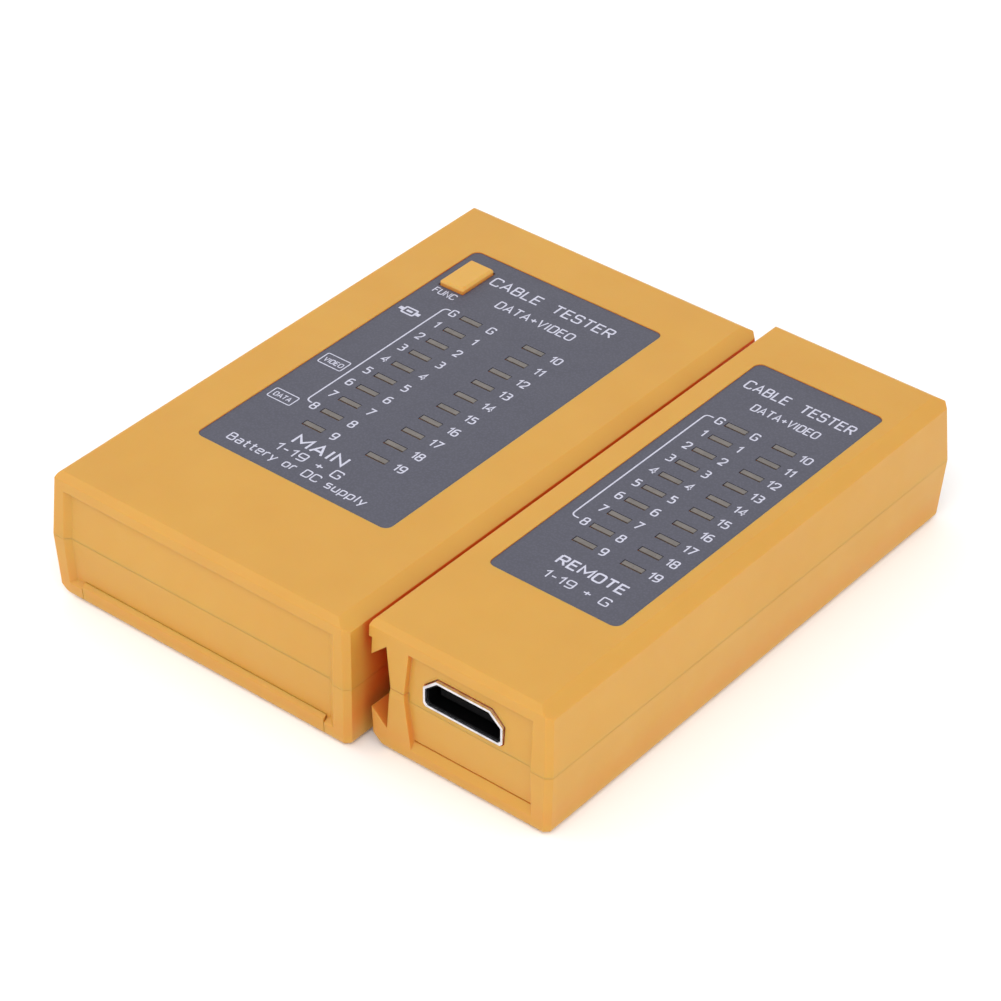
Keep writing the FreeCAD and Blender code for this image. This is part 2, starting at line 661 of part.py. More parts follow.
def jack_housing(centre_x):
    """Network socket body, mouth at y = 0, contact side up, latch notch down."""
    top = BOARD_BOTTOM
    low = top - JACK_HEIGHT
    body = box((centre_x - JACK_WIDTH / 2, centre_x + JACK_WIDTH / 2), (0, JACK_DEPTH), (low, top))
    mouth = box((centre_x - 5.85, centre_x + 5.85), (-1, 13.5), (low + 3.9, top - 1.2))
    latch = box((centre_x - 3.05, centre_x + 3.05), (-1, 9.5), (low + 2.2, low + 4.0))
    key = box((centre_x - 1.65, centre_x + 1.65), (-1, 9.5), (low + 1.0, low + 2.4))
    return cut_all(body, [mouth, latch, key])


def jack_contacts(centre_x):
    """Eight sprung wires that slope down into the mouth from its roof."""
    roof = BOARD_BOTTOM - 1.2
    wires = []
    for n in range(JACK_WIRES):
        x = centre_x + (n - (JACK_WIRES - 1) / 2) * JACK_WIRE_PITCH
        outline = [
            (1.6, roof), (2.1, roof), (10.4, roof - 2.4),
            (10.4, roof - 2.8), (9.9, roof - 2.8), (1.6, roof - 0.4),
        ]
        wires.append(prism(outline, x - 0.2, x + 0.2, "x"))
    return Part.makeCompound(wires)


def power_housing(centre_x):
    top = BOARD_BOTTOM
    half = POWER_WIDTH / 2
    body = box((centre_x - half, centre_x + half), (0, POWER_DEPTH), (top - POWER_HEIGHT, top))
    return body.cut(rod((centre_x, top - POWER_HEIGHT / 2), POWER_BORE_R, -1, 11.0, "y"))


def power_pin(centre_x):
    pin = rod((centre_x, BOARD_BOTTOM - POWER_HEIGHT / 2), POWER_PIN_R, 1.2, 8.8, "y")
    return pin.makeFillet(0.4, [e for e in pin.Edges if e.BoundBox.YMax < 1.3])


def facing_front(shape, mouth_y):
    """Places a socket whose mouth looks to the front."""
    shape.translate(V(0, mouth_y, 0))
    return shape


def facing_rear(shape, centre_x, mouth_y):
    """Turns a socket about its own middle so its mouth looks to the rear, and places it."""
    shape.rotate(V(centre_x, 0, 0), V(0, 0, 1), 180)
    shape.translate(V(0, mouth_y, 0))
    return shape


# ---------------------------------------------------------------- battery and leads

def terminal_rows():
    middle_y = BATTERY_Y + BATTERY[1] / 2
    middle_z = BATTERY_Z + BATTERY[2] / 2
    return [(middle_y - TERMINAL_SPACING / 2, middle_z), (middle_y + TERMINAL_SPACING / 2, middle_z)]


def battery():
    x = (BATTERY_X, BATTERY_X + BATTERY[0])
    body = box(x, (BATTERY_Y, BATTERY_Y + BATTERY[1]), (BATTERY_Z, BATTERY_Z + BATTERY[2]))
    long_edges = [e for e in body.Edges if abs(e.Vertexes[0].X - e.Vertexes[1].X) > 1]
    return body.makeFillet(1.8, long_edges)


def battery_terminals():
    end = BATTERY_X + BATTERY[0]
    stud, socket = terminal_rows()
    stud_solid = rod(stud, 2.85, end, TERMINAL_REACH, "x")
    ring = rod(socket, 4.1, end, TERMINAL_REACH, "x").cut(rod(socket, 3.1, end + 0.4, 5, "x"))
    return Part.makeCompound([stud_solid, ring])


def battery_clip():
    """Snap plate: a cup over the battery's stud and a stud inside the battery's ring."""
    start = BATTERY_X + BATTERY[0] + TERMINAL_REACH + 0.1
    stud, socket = terminal_rows()
    plate = box((start, start + 2.6), (stud[0] - 5.5, socket[0] + 5.5), (stud[1] - 6.0, stud[1] + 6.0))
    long_edges = [e for e in plate.Edges if abs(e.Vertexes[0].X - e.Vertexes[1].X) > 1]
    plate = plate.makeFillet(3.0, long_edges)
    cup = rod(stud, 3.7, start - 1.7, 1.8, "x").cut(rod(stud, 3.0, start - 3, 3.0, "x"))
    peg = rod(socket, 2.9, start - 1.5, 1.6, "x")
    return join([plate, cup, peg])


def lead(points, bend, radius):
    """A wire along straight runs joined by tangent arcs."""
    corners = [V(*p) for p in points]
    edges = []
    last = corners[0]
    for before, at, after in zip(corners, corners[1:], corners[2:]):
        way_in = (at - before).normalize()
        way_out = (after - at).normalize()
        turn = way_in.getAngle(way_out)
        reach = bend * math.tan(turn / 2)
        start = at - way_in * reach
        end = at + way_out * reach
        bisector = (way_out - way_in).normalize()
        centre = at + bisector * (bend / math.cos(turn / 2))
        middle = centre - bisector * bend
        edges.append(Part.makeLine(last, start))
        edges.append(Part.Arc(start, middle, end).toShape())
        last = end
    edges.append(Part.makeLine(last, corners[-1]))
    path = Part.Wire(edges)
    section = Part.Wire([Part.makeCircle(radius, corners[0], (corners[1] - corners[0]).normalize())])
    return path.makePipeShell([section], True, False)


def battery_leads():
    """Red and black leads from the clip, through the partition, up to the board."""
    clip_x = BATTERY_X + BATTERY[0] + TERMINAL_REACH + 0.1 + 1.3
    edge_y = terminal_rows()[1][0] + 5.5
    board = BOARD_BOTTOM
    behind = PARTITION_Y + PARTITION_THICK + 1.7
    leads = []
    for z, x_end in ((9.6, 50.0), (8.0, 47.6)):
        route = [(clip_x, edge_y, z), (clip_x, behind, z), (x_end, behind, z), (x_end, behind, board)]
        leads.append(lead(route, 1.4, 0.6))
    return leads


# ---------------------------------------------------------------- small electronics

def chip(centre, size, pins, pitch):
    """A flat package under the board with a row of legs along each long side."""
    body = centred_box(centre, size, (BOARD_BOTTOM - 2.3, BOARD_BOTTOM - 0.2))
    legs = []
    for n in range(pins):
        y = centre[1] + (n - (pins - 1) / 2) * pitch
        legs.append(centred_box((centre[0], y), (size[0] + 2.6, 0.4), (BOARD_BOTTOM - 0.45, BOARD_BOTTOM)))
    return join([body] + legs)


def chip_row(first, step, count, size, height):
    """Identical small parts in a row on the board's underside."""
    parts = []
    for n in range(count):
        centre = (first[0] + step[0] * n, first[1] + step[1] * n)
        parts.append(centred_box(centre, size, (BOARD_BOTTOM - height, BOARD_BOTTOM)))
    return parts


def clock_crystal(centre):
    can = centred_box(centre, (10.6, 4.4), (BOARD_BOTTOM - 3.6, BOARD_BOTTOM))
    upright = [e for e in can.Edges if abs(e.Vertexes[0].Z - e.Vertexes[1].Z) > 1e-6]
    return can.makeFillet(2.15, upright)


def supply_capacitor(centre):
    can = rod(centre, 3.1, BOARD_BOTTOM - 7.0, 7.0, "z")
    return can.makeFillet(0.4, [e for e in can.Edges if e.BoundBox.ZMax < BOARD_BOTTOM - 6.9])


def case_screw(centre):
    """A pan head screw from below, with a cross recess."""
    head = rod(centre, SCREW_HEAD_R, SCREW_HEAD_Z - 1.7, 1.7, "z")
    low_edge = [e for e in head.Edges if e.BoundBox.ZMax < SCREW_HEAD_Z - 1.6]
    head = head.makeFillet(0.6, low_edge)
    shank = rod(centre, SCREW_R - 0.02, SCREW_HEAD_Z - 0.1, 12.0, "z")
    cross = [
        centred_box(centre, (2.4, 0.6), (SCREW_HEAD_Z - 2, SCREW_HEAD_Z - 0.9)),
        centred_box(centre, (0.6, 2.4), (SCREW_HEAD_Z - 2, SCREW_HEAD_Z - 0.9)),
    ]
    return cut_all(join([head, shank]), cross)


def board_screw(centre):
    head = rod(centre, 1.8, BOARD_BOTTOM - 1.2, 1.2, "z")
    shank = rod(centre, BOARD_SCREW_R - 0.02, BOARD_BOTTOM - 0.1, 3.5, "z")
    cross = [
        centred_box(centre, (2.0, 0.5), (BOARD_BOTTOM - 2, BOARD_BOTTOM - 0.6)),
        centred_box(centre, (0.5, 2.0), (BOARD_BOTTOM - 2, BOARD_BOTTOM - 0.6)),
    ]
    return cut_all(join([head, shank]), cross)


# ---------------------------------------------------------------- remote unit (own x from its lips)

def channel_cutter():
    low, high = CHANNEL_MOUTH
    outline = [
        (-2, low), (0, low), (CHANNEL_DEPTH, CHANNEL_INNER[0]), (CHANNEL_DEPTH_MID, CHANNEL_WAIST_Z),
        (CHANNEL_DEPTH, CHANNEL_INNER[1]), (0, high), (-2, high),
    ]
    return prism(outline, -5, CASE_LENGTH + 5, "y")


def remote_cavity(z):
    return box((CHANNEL_WALL, REMOTE_WIDTH - SIDE_WALL), (INNER_FRONT, INNER_REAR), z)


def remote_socket_cutouts():
    video = video_outline(REMOTE_VIDEO_X, CUTOUT_GAP, -1, INNER_FRONT + 1)
    jack_x = (REMOTE_JACK_X - JACK_WIDTH / 2 - CUTOUT_GAP, REMOTE_JACK_X + JACK_WIDTH / 2 + CUTOUT_GAP)
    jack_z = (BOARD_BOTTOM - JACK_HEIGHT - CUTOUT_GAP, BOARD_BOTTOM + CUTOUT_GAP)
    return [video, box(jack_x, (INNER_REAR - 1, CASE_LENGTH + 1), jack_z)]


def seam_step(z):
    """The strip beside the channel where the remote's seam runs at the channel's waist."""
    return box((-5, SEAM_STEP_X), (-5, CASE_LENGTH + 5), z)


def remote_top_shell():
    block = case_block(0, REMOTE_WIDTH, 0, True)
    lean = DRAFT / (CASE_HEIGHT - PARTING_Z)
    ledge_y = DRAFT - lean * (CASE_HEIGHT - TOP_LEDGE_Z)
    ledge = tapered(
        (-TOP_LEDGE, 5), (ledge_y, CASE_LENGTH - ledge_y), TOP_LEDGE_Z,
        (-TOP_LEDGE, 5), (DRAFT, CASE_LENGTH - DRAFT), CASE_HEIGHT,
    )
    block = round_left_top(join([block, ledge]), -TOP_LEDGE)
    block = bevel_top(block, REMOTE_WIDTH)
    cutters = [remote_cavity((PARTING_Z - 1, CEILING)), label_pocket(REMOTE_LABEL), channel_cutter()]
    cutters.append(seam_step((PARTING_Z - 1, CHANNEL_WAIST_Z)))
    cutters += remote_recess()
    cutters += case_window_cutters(REMOTE_COLUMNS, (CEILING - 1, CASE_HEIGHT + 1))
    cutters += remote_socket_cutouts()
    posts = [screw_post(c) for c in REMOTE_SCREWS] + [board_post(c) for c in REMOTE_BOARD_SCREWS]
    return join([cut_all(block, cutters)] + posts)


def remote_bottom_shell():
    block = bevel_left_bottom(case_block(0, REMOTE_WIDTH, 0, False), 0, REMOTE_LEFT_BEVEL)
    block = bevel_seam(round_bottom(block, REMOTE_BOTTOM_RADIUS))
    whole = join([case_block(0, REMOTE_WIDTH, 0, upper) for upper in (False, True)])
    strip = whole.common(seam_step((PARTING_Z - 2 * SEAM_BEVEL, CHANNEL_WAIST_Z - SEAM_GAP)))
    block = join([block, strip])
    cutters = [remote_cavity((WALL, PARTING_Z + 1)), channel_cutter()]
    cutters += remote_recess()
    cutters += remote_socket_cutouts()
    shell = join([cut_all(block, cutters)] + [screw_boss(c) for c in REMOTE_SCREWS])
    wells = []
    for centre in REMOTE_SCREWS:
        wells += screw_well(centre)
    return cut_all(shell, wells)


def remote_circuit_board():
    y = (INNER_FRONT + 0.3, INNER_REAR - 0.3)
    board = box((CHANNEL_WALL + 0.4, REMOTE_WIDTH - 2.6), y, (BOARD_BOTTOM, BOARD_TOP))
    holes = [rod(c, BOSS_R, BOARD_BOTTOM - 1, 4, "z") for c in REMOTE_SCREWS]
    holes += [rod(c, BOARD_SCREW_R + 0.2, BOARD_BOTTOM - 1, 4, "z") for c in REMOTE_BOARD_SCREWS]
    holes.append(facing_front(video_notch(REMOTE_VIDEO_X), VIDEO_MOUTH))
    return cut_all(board, holes)


# ---------------------------------------------------------------- assembly

def main_nodes():
    rear_mouth = CASE_LENGTH - SOCKET_FACE
    video_mouth = CASE_LENGTH - VIDEO_MOUTH
    jack_x, video_x, power_x = MAIN_JACK_X, MAIN_VIDEO_X, MAIN_POWER_X
    button_hole = button_shape(BUTTON_CLEARANCE, (0, 50))
    red, black = battery_leads()
    return {
        "main_top_shell": main_top_shell(),
        "main_bottom_shell": main_bottom_shell(),
        "battery_door": battery_door(),
        "main_label": label(MAIN_LABEL, MAIN_COLUMNS, [button_hole]),
        "function_button": function_button(),
        "switch_body": switch_body(),
        "switch_plunger": switch_plunger(),
        "main_circuit_board": main_circuit_board(),
        "main_indicator_leds": indicator_leds(MAIN_COLUMNS),
        "main_network_socket": facing_rear(jack_housing(jack_x), jack_x, rear_mouth),
        "main_network_contacts": facing_rear(jack_contacts(jack_x), jack_x, rear_mouth),
        "main_video_shell": facing_rear(video_shell(video_x), video_x, video_mouth),
        "main_video_insulator": facing_rear(video_insulator(video_x), video_x, video_mouth),
        "main_video_contacts": facing_rear(video_contacts(video_x), video_x, video_mouth),
        "power_jack": facing_rear(power_housing(power_x), power_x, rear_mouth),
        "power_jack_pin": facing_rear(power_pin(power_x), power_x, rear_mouth),
        "battery": battery(),
        "battery_terminals": battery_terminals(),
        "battery_clip": battery_clip(),
        "battery_lead_red": red,
        "battery_lead_black": black,
        "controller_chip": chip((29.6, 64.0), (7.5, 17.9), 14, 1.27),
        "clock_crystal": clock_crystal((44.0, 72.0)),
        "supply_capacitor": supply_capacitor((43.0, 44.0)),
        "main_resistors": Part.makeCompound(chip_row((18.5, 50.0), (0, 3.2), 9, (3.2, 1.6), 0.65)),
        "main_case_screws": Part.makeCompound([case_screw(c) for c in MAIN_SCREWS]),
        "main_board_screws": Part.makeCompound([board_screw(c) for c in MAIN_BOARD_SCREWS]),
    }


def remote_nodes():
    rear_mouth = CASE_LENGTH - SOCKET_FACE
    jack_x, video_x = REMOTE_JACK_X, REMOTE_VIDEO_X
    nodes = {
        "remote_top_shell": remote_top_shell(),
        "remote_bottom_shell": remote_bottom_shell(),
        "remote_label": label(REMOTE_LABEL, REMOTE_COLUMNS, []),
        "remote_circuit_board": remote_circuit_board(),
        "remote_indicator_leds": indicator_leds(REMOTE_COLUMNS),
        "remote_video_shell": facing_front(video_shell(video_x), VIDEO_MOUTH),
        "remote_video_insulator": facing_front(video_insulator(video_x), VIDEO_MOUTH),
        "remote_video_contacts": facing_front(video_contacts(video_x), VIDEO_MOUTH),
        "remote_network_socket": facing_rear(jack_housing(jack_x), jack_x, rear_mouth),
        "remote_network_contacts": facing_rear(jack_contacts(jack_x), jack_x, rear_mouth),
        "remote_resistors": Part.makeCompound(chip_row((16.5, 34.0), (0, 3.6), 11, (3.2, 1.6), 0.65)),
        "remote_diodes": Part.makeCompound(chip_row((26.0, 36.0), (0, 5.4), 7, (2.7, 1.6), 1.2)),
        "remote_case_screws": Part.makeCompound([case_screw(c) for c in REMOTE_SCREWS]),
        "remote_board_screws": Part.makeCompound([board_screw(c) for c in REMOTE_BOARD_SCREWS]),
    }
    for shape in nodes.values():
        shape.translate(V(REMOTE_X, REMOTE_SHIFT, 0))
    return nodes


def main():
    os.makedirs("parts", exist_ok=True)
    nodes = main_nodes()
    nodes.update(remote_nodes())
    for name, shape in nodes.items():
        shape.translate(-ORIGIN)
        shape.exportStep(f"parts/{name}.step")
        solids = len(shape.Solids)
        print(f"{name}: solids {solids}, valid {shape.isValid()}, volume {shape.Volume:.1f}")


main()
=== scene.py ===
"""Looks of a two-piece network cable tester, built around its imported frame.

Lengths are written in millimetres and turned to metres by MM.
"""

import logging
import math
from dataclasses import dataclass, field
from enum import Enum
from typing import Any, Sequence

import bpy
import numpy as np
from mathutils import Matrix, Vector


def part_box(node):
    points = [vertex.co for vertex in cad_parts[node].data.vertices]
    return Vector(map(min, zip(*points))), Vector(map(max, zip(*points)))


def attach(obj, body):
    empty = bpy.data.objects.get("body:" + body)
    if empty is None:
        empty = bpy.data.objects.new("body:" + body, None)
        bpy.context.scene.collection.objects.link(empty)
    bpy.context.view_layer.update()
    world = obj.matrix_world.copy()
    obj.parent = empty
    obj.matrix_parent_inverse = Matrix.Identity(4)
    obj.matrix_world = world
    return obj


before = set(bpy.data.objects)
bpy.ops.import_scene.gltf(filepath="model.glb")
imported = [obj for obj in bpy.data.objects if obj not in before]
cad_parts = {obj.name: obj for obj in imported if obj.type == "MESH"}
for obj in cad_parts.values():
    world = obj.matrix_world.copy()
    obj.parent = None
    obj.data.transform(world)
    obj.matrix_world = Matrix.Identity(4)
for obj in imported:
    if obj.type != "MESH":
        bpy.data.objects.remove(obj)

LOG = logging.getLogger("cable_tester")
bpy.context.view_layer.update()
MM = 0.001
LABEL_SLOT = "label_film"               # the material slot of the two labels

Point = tuple[float, float]             # a place across a label
Span = tuple[float, float]              # the two ends of a range
Triple = tuple[float, float, float]     # one number along each axis, or a colour
PenLine = tuple[float, tuple[Point, ...]]   # how far its corners are rounded, and the corners
Tree = bpy.types.NodeTree
Socket = bpy.types.NodeSocket


class Body(Enum):
    """The rigid bodies that new pieces ride on."""

    MAIN = "main_unit"
    REMOTE = "remote_unit"


# ------------------------------------------------------------------ colours and nodes


def linear(hex_colour: str) -> tuple[float, float, float, float]:
    """Turns an sRGB hex colour to linear light.

    Args:
        hex_colour: six hex digits after a hash.

    Returns:
        Red, green, blue and an alpha of one.
    """
    parts = (int(hex_colour[i:i + 2], 16) / 255 for i in (1, 3, 5))
    red, green, blue = (c / 12.92 if c <= 0.04045 else ((c + 0.055) / 1.055) ** 2.4 for c in parts)
    return red, green, blue, 1.0


def add(tree: Tree, kind: str, inputs: dict[Any, Any] | None = None, **settings: Any) -> bpy.types.Node:
    """Adds a node, sets its properties, and fills or links its inputs.

    Args:
        tree: the tree the node goes in.
        kind: the node's type name.
        inputs: socket name or number to a value, or to the output socket that feeds it.
        settings: the node's own properties.

    Returns:
        The node.
    """
    node = tree.nodes.new(kind)
    for name, value in settings.items():
        setattr(node, name, value)
    for key, value in (inputs or {}).items():
        if isinstance(value, bpy.types.NodeSocket):
            tree.links.new(value, node.inputs[key])
        else:
            node.inputs[key].default_value = value
    return node


class Spacing(Enum):
    """How the distance to the points of a cell pattern is counted, which sets the shape of the cells."""

    ROUND = "EUCLIDEAN"
    SQUARE = "MANHATTAN"


class Pattern:
    """Patterns of one material, all on Object coordinates, with sizes in millimetres."""

    EVEN: Triple = (1.0, 1.0, 1.0)
    FULL: Span = (0.0, 1.0)
    MIDDLE: Span = (0.3, 0.7)           # most of a cloudy noise lies in here
    SKY_RAYS = 8
    RIM_RAYS = 6
    # The mix node's sockets for colours go by number, because its other kinds bear the same names.
    MIX_FIRST, MIX_SECOND, MIX_RESULT = 6, 7, 2

    def __init__(self, tree: Tree) -> None:
        """Starts from the Object coordinates of the piece."""
        self.tree = tree
        self.place = add(tree, "ShaderNodeTexCoord").outputs["Object"]

    def noise(self, size_mm: float, detail: float = 3.0, stretch: Triple = EVEN) -> Socket:
        """Cloudy noise.

        Args:
            size_mm: distance between blobs.
            detail: octaves.
            stretch: how much finer the pattern runs along each axis.

        Returns:
            The noise's factor.
        """
        place = self.place
        if stretch != self.EVEN:
            place = add(self.tree, "ShaderNodeMapping", {"Vector": place, "Scale": stretch}).outputs[0]
        return add(
            self.tree, "ShaderNodeTexNoise",
            {"Vector": place, "Scale": 1.0 / (size_mm * MM), "Detail": detail, "Roughness": 0.55},
        ).outputs["Fac"]

    def cells(self, size_mm: float, spacing: Spacing = Spacing.ROUND) -> Socket:
        """Distance to the nearest of many scattered points.

        Args:
            size_mm: how far the points are apart.
            spacing: how the distance is counted.

        Returns:
            The distance, in spacings.
        """
        return add(
            self.tree, "ShaderNodeTexVoronoi", {"Vector": self.place, "Scale": 1.0 / (size_mm * MM)},
            distance=spacing.value,
        ).outputs["Distance"]

    def spread(self, factor: Socket, to: Span, taken: Span = MIDDLE) -> Socket:
        """Stretches one range of a factor over another, and clips what lies outside it.

        Args:
            factor: what is stretched.
            to: what the ends of the range become.
            taken: the range.

        Returns:
            The stretched factor.
        """
        return add(
            self.tree, "ShaderNodeMapRange",
            {"Value": factor, "From Min": taken[0], "From Max": taken[1], "To Min": to[0], "To Max": to[1]},
        ).outputs["Result"]

    def blend(self, factor: Socket, first: Any, second: Any) -> Socket:
        """Mixes two colours.

        Args:
            factor: zero gives the first and one the second.
            first: a colour, or the socket it comes from.
            second: the same.

        Returns:
            The mixed colour.
        """
        inputs = {"Factor": factor, self.MIX_FIRST: first, self.MIX_SECOND: second}
        return add(self.tree, "ShaderNodeMix", inputs, data_type="RGBA").outputs[self.MIX_RESULT]

    def relief(self, height: Socket, depth_mm: float, under: Socket | None = None) -> Socket:
        """A bump.

        Args:
            height: what is high and what is low.
            depth_mm: how far the two are apart.
            under: an earlier normal that the bump goes on top of.

        Returns:
            The bumped normal.
        """
        inputs = {"Height": height, "Distance": depth_mm * MM, "Strength": 1.0}
        if under is not None:
            inputs["Normal"] = under
        return add(self.tree, "ShaderNodeBump", inputs).outputs["Normal"]

    def shelter(self, reach_mm: float, sky: Span, foot_mm: Span) -> Socket:
        """How open a spot is, leaving out the shelter that the table gives to the foot of a wall.

        Args:
            reach_mm: how far a spot looks for neighbours.
            sky: the shares of free sky that count as closed and as open.
            foot_mm: heights below which a spot counts as open and above which the table has no say.

        Returns:
            Zero where the spot is closed, to one where it is open.
        """
        free = add(
            self.tree, "ShaderNodeAmbientOcclusion", {"Distance": reach_mm * MM}, samples=self.SKY_RAYS,
        ).outputs["AO"]
        height = add(self.tree, "ShaderNodeSeparateXYZ", {"Vector": self.place}).outputs["Z"]
        table = self.spread(height, (1.0, 0.0), (foot_mm[0] * MM, foot_mm[1] * MM))
        openness = {0: self.spread(free, self.FULL, sky), 1: table}
        return add(self.tree, "ShaderNodeMath", openness, operation="MAXIMUM").outputs[0]

    def soft_edges(self, radius_mm: float) -> Socket:
        """A normal that rolls over every edge by radius_mm, as a mould leaves it."""
        rim = add(self.tree, "ShaderNodeBevel", {"Radius": radius_mm * MM}, samples=self.RIM_RAYS)
        return rim.outputs["Normal"]


# ------------------------------------------------------------------ finishes


@dataclass(frozen=True)
class Finish:
    """A named surface; each kind of surface fills in its own nodes."""

    name: str

    def surface(self, pattern: Pattern) -> dict[str, Any]:
        """Works out the surface; each kind of finish has its own.

        Args:
            pattern: the patterns of the material.

        Returns:
            The Principled shader's inputs.
        """
        raise NotImplementedError

    def material(self) -> bpy.types.Material:
        """Builds the material once.

        Returns:
            The material, which later calls find under its name.
        """
        found = bpy.data.materials.get(self.name)
        if found:
            return found
        made = bpy.data.materials.new(self.name)
        made.use_nodes = True
        tree = made.node_tree
        tree.nodes.clear()
        shader = add(tree, "ShaderNodeBsdfPrincipled", self.surface(Pattern(tree)))
        add(tree, "ShaderNodeOutputMaterial", {"Surface": shader.outputs[0]})
        return made

    def dress(self, *nodes: str) -> None:
        """Gives the finish to carried-over CAD nodes.

        Args:
            nodes: their names.
        """
        for name in nodes:
            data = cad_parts[name].data
            data.materials.clear()
            data.materials.append(self.material())
            LOG.info("dressed %s in %s", name, self.name)


@dataclass(frozen=True)
class MouldedAbs(Finish):
    """ABS from a spark-eroded mould: even warm colour with a painted red shade in crevices, soft rims, a fine
    grain that breaks up the shine.
    """

    colour: str = "#C7943B"
    warm: str = "#C49038"
    flow_mm: float = 14.0               # mottling where the melt ran
    glow: str = "#D8470C"               # painted shade: the red that light bounced inside a crevice would give, painted into crevices
    # how far a spot looks and how closed it must be to take the painted red shade, and the heights near the
    # floor where that shade stays off
    crevice_mm: float = 14.0
    crevice_sky: Span = (0.08, 0.66)
    foot_mm: Span = (1.5, 12.0)
    grain_mm: float = 0.30              # real grain is near 0.1 mm; this is as fine as shows
    grain_depth_mm: float = 0.012
    sink_mm: float = 7.0                # the slow waves of a cooled wall
    sink_depth_mm: float = 0.004
    rim_mm: float = 0.28
    roughness: float = 0.46
    handled_mm: float = 9.0
    handled: Span = (-0.05, 0.06)       # how far hands polish or dull it
    inner_colour: Triple = (1.0, 0.34, 0.08)
    inner_mm: float = 2.5               # how far light runs inside

    def surface(self, pattern: Pattern) -> dict[str, Any]:
        """Flow mottling and a painted red shade in crevices in the colour, grain in the relief, handling in
        the gloss.

        Args:
            pattern: the patterns of the material.

        Returns:
            The Principled shader's inputs.
        """
        flow = pattern.spread(pattern.noise(self.flow_mm, detail=2.0), pattern.FULL)
        open_colour = pattern.blend(flow, linear(self.colour), linear(self.warm))
        # the mask of the painted crevice shade: zero where a spot is closed in
        shelter = pattern.shelter(self.crevice_mm, self.crevice_sky, self.foot_mm)
        polish, wear = (self.roughness + change for change in self.handled)
        sinks = pattern.relief(
            pattern.noise(self.sink_mm, detail=1.0), self.sink_depth_mm, pattern.soft_edges(self.rim_mm),
        )
        return {
            # painted shade: closed crevices take the painted red in place of the case colour
            "Base Color": pattern.blend(shelter, linear(self.glow), open_colour),
            "Roughness": pattern.spread(pattern.noise(self.handled_mm, detail=4.0), (polish, wear)),
            "Normal": pattern.relief(pattern.noise(self.grain_mm, detail=2.0), self.grain_depth_mm, sinks),
            "IOR": 1.52,
            "Specular IOR Level": 0.42,
            "Subsurface Weight": 0.35,
            "Subsurface Radius": self.inner_colour,
            "Subsurface Scale": self.inner_mm * MM,
        }


@dataclass(frozen=True)
class PrintedFilm(Finish):
    """Polyester label film with an even grey print under it: satin, with the print's tiny dots."""

    colour: str = "#42424F"
    dot_colour: str = "#4C4C5B"
    dot_mm: float = 0.42                # real print dots are near 0.15 mm; this is as fine as shows
    dot_edge: Span = (0.1, 0.6)
    peel_mm: float = 0.8
    peel_depth_mm: float = 0.010
    rub_mm: float = 5.0
    rim_mm: float = 0.06

    def surface(self, pattern: Pattern) -> dict[str, Any]:
        """A fine dot screen in the colour and a slight orange peel in the relief.

        Args:
            pattern: the patterns of the material.

        Returns:
            The Principled shader's inputs.
        """
        dots = pattern.spread(pattern.cells(self.dot_mm), (1.0, 0.0), self.dot_edge)
        peel = pattern.noise(self.peel_mm, detail=2.0)
        return {
            "Base Color": pattern.blend(dots, linear(self.colour), linear(self.dot_colour)),
            "Roughness": pattern.spread(pattern.noise(self.rub_mm), (0.42, 0.52)),
            "Normal": pattern.relief(peel, self.peel_depth_mm, pattern.soft_edges(self.rim_mm)),
            "IOR": 1.56,
            "Specular IOR Level": 0.5,
        }


@dataclass(frozen=True)
class ScreenInk(Finish):
    """Pale screen-printed ink: matt, a touch uneven where the mesh left it thin."""

    colour: str = "#C2C2D2"
    thin: str = "#ACACBD"
    mesh_mm: float = 0.35               # real threads are near 0.1 mm apart; this is as fine as shows
    thin_spots: Span = (0.45, 0.75)
    tooth_mm: float = 0.004

    def surface(self, pattern: Pattern) -> dict[str, Any]:
        """Mesh-thin spots in the colour and a faint tooth.

        Args:
            pattern: the patterns of the material.

        Returns:
            The Principled shader's inputs.
        """
        mesh = pattern.noise(self.mesh_mm, detail=2.0)
        thin = pattern.spread(mesh, pattern.FULL, self.thin_spots)
        return {
            "Base Color": pattern.blend(thin, linear(self.colour), linear(self.thin)),
            "Roughness": 0.6,
            "Normal": pattern.relief(mesh, self.tooth_mm),
            "IOR": 1.48,
        }


@dataclass(frozen=True)
class TintedResin(Finish):
    """Cast epoxy lamp: a dull grey-brown when unlit, with a milky depth and a glossy skin."""

    colour: str = "#6B645F"
    deep: str = "#5B5551"
    cloud_mm: float = 1.4
    polish_mm: float = 0.8
    skin_mm: float = 0.5
    skin_depth_mm: float = 0.01
    rim_mm: float = 0.1

    def surface(self, pattern: Pattern) -> dict[str, Any]:
        """Milky clouds under a clear skin.

        Args:
            pattern: the patterns of the material.

        Returns:
            The Principled shader's inputs.
        """
        clouds = pattern.spread(pattern.noise(self.cloud_mm), pattern.FULL)
        skin = pattern.noise(self.skin_mm)
        return {
            "Base Color": pattern.blend(clouds, linear(self.colour), linear(self.deep)),
            "Roughness": pattern.spread(pattern.noise(self.polish_mm), (0.25, 0.4)),
            "Normal": pattern.relief(skin, self.skin_depth_mm, pattern.soft_edges(self.rim_mm)),
            "IOR": 1.54,
            "Coat Weight": 0.3,
        }


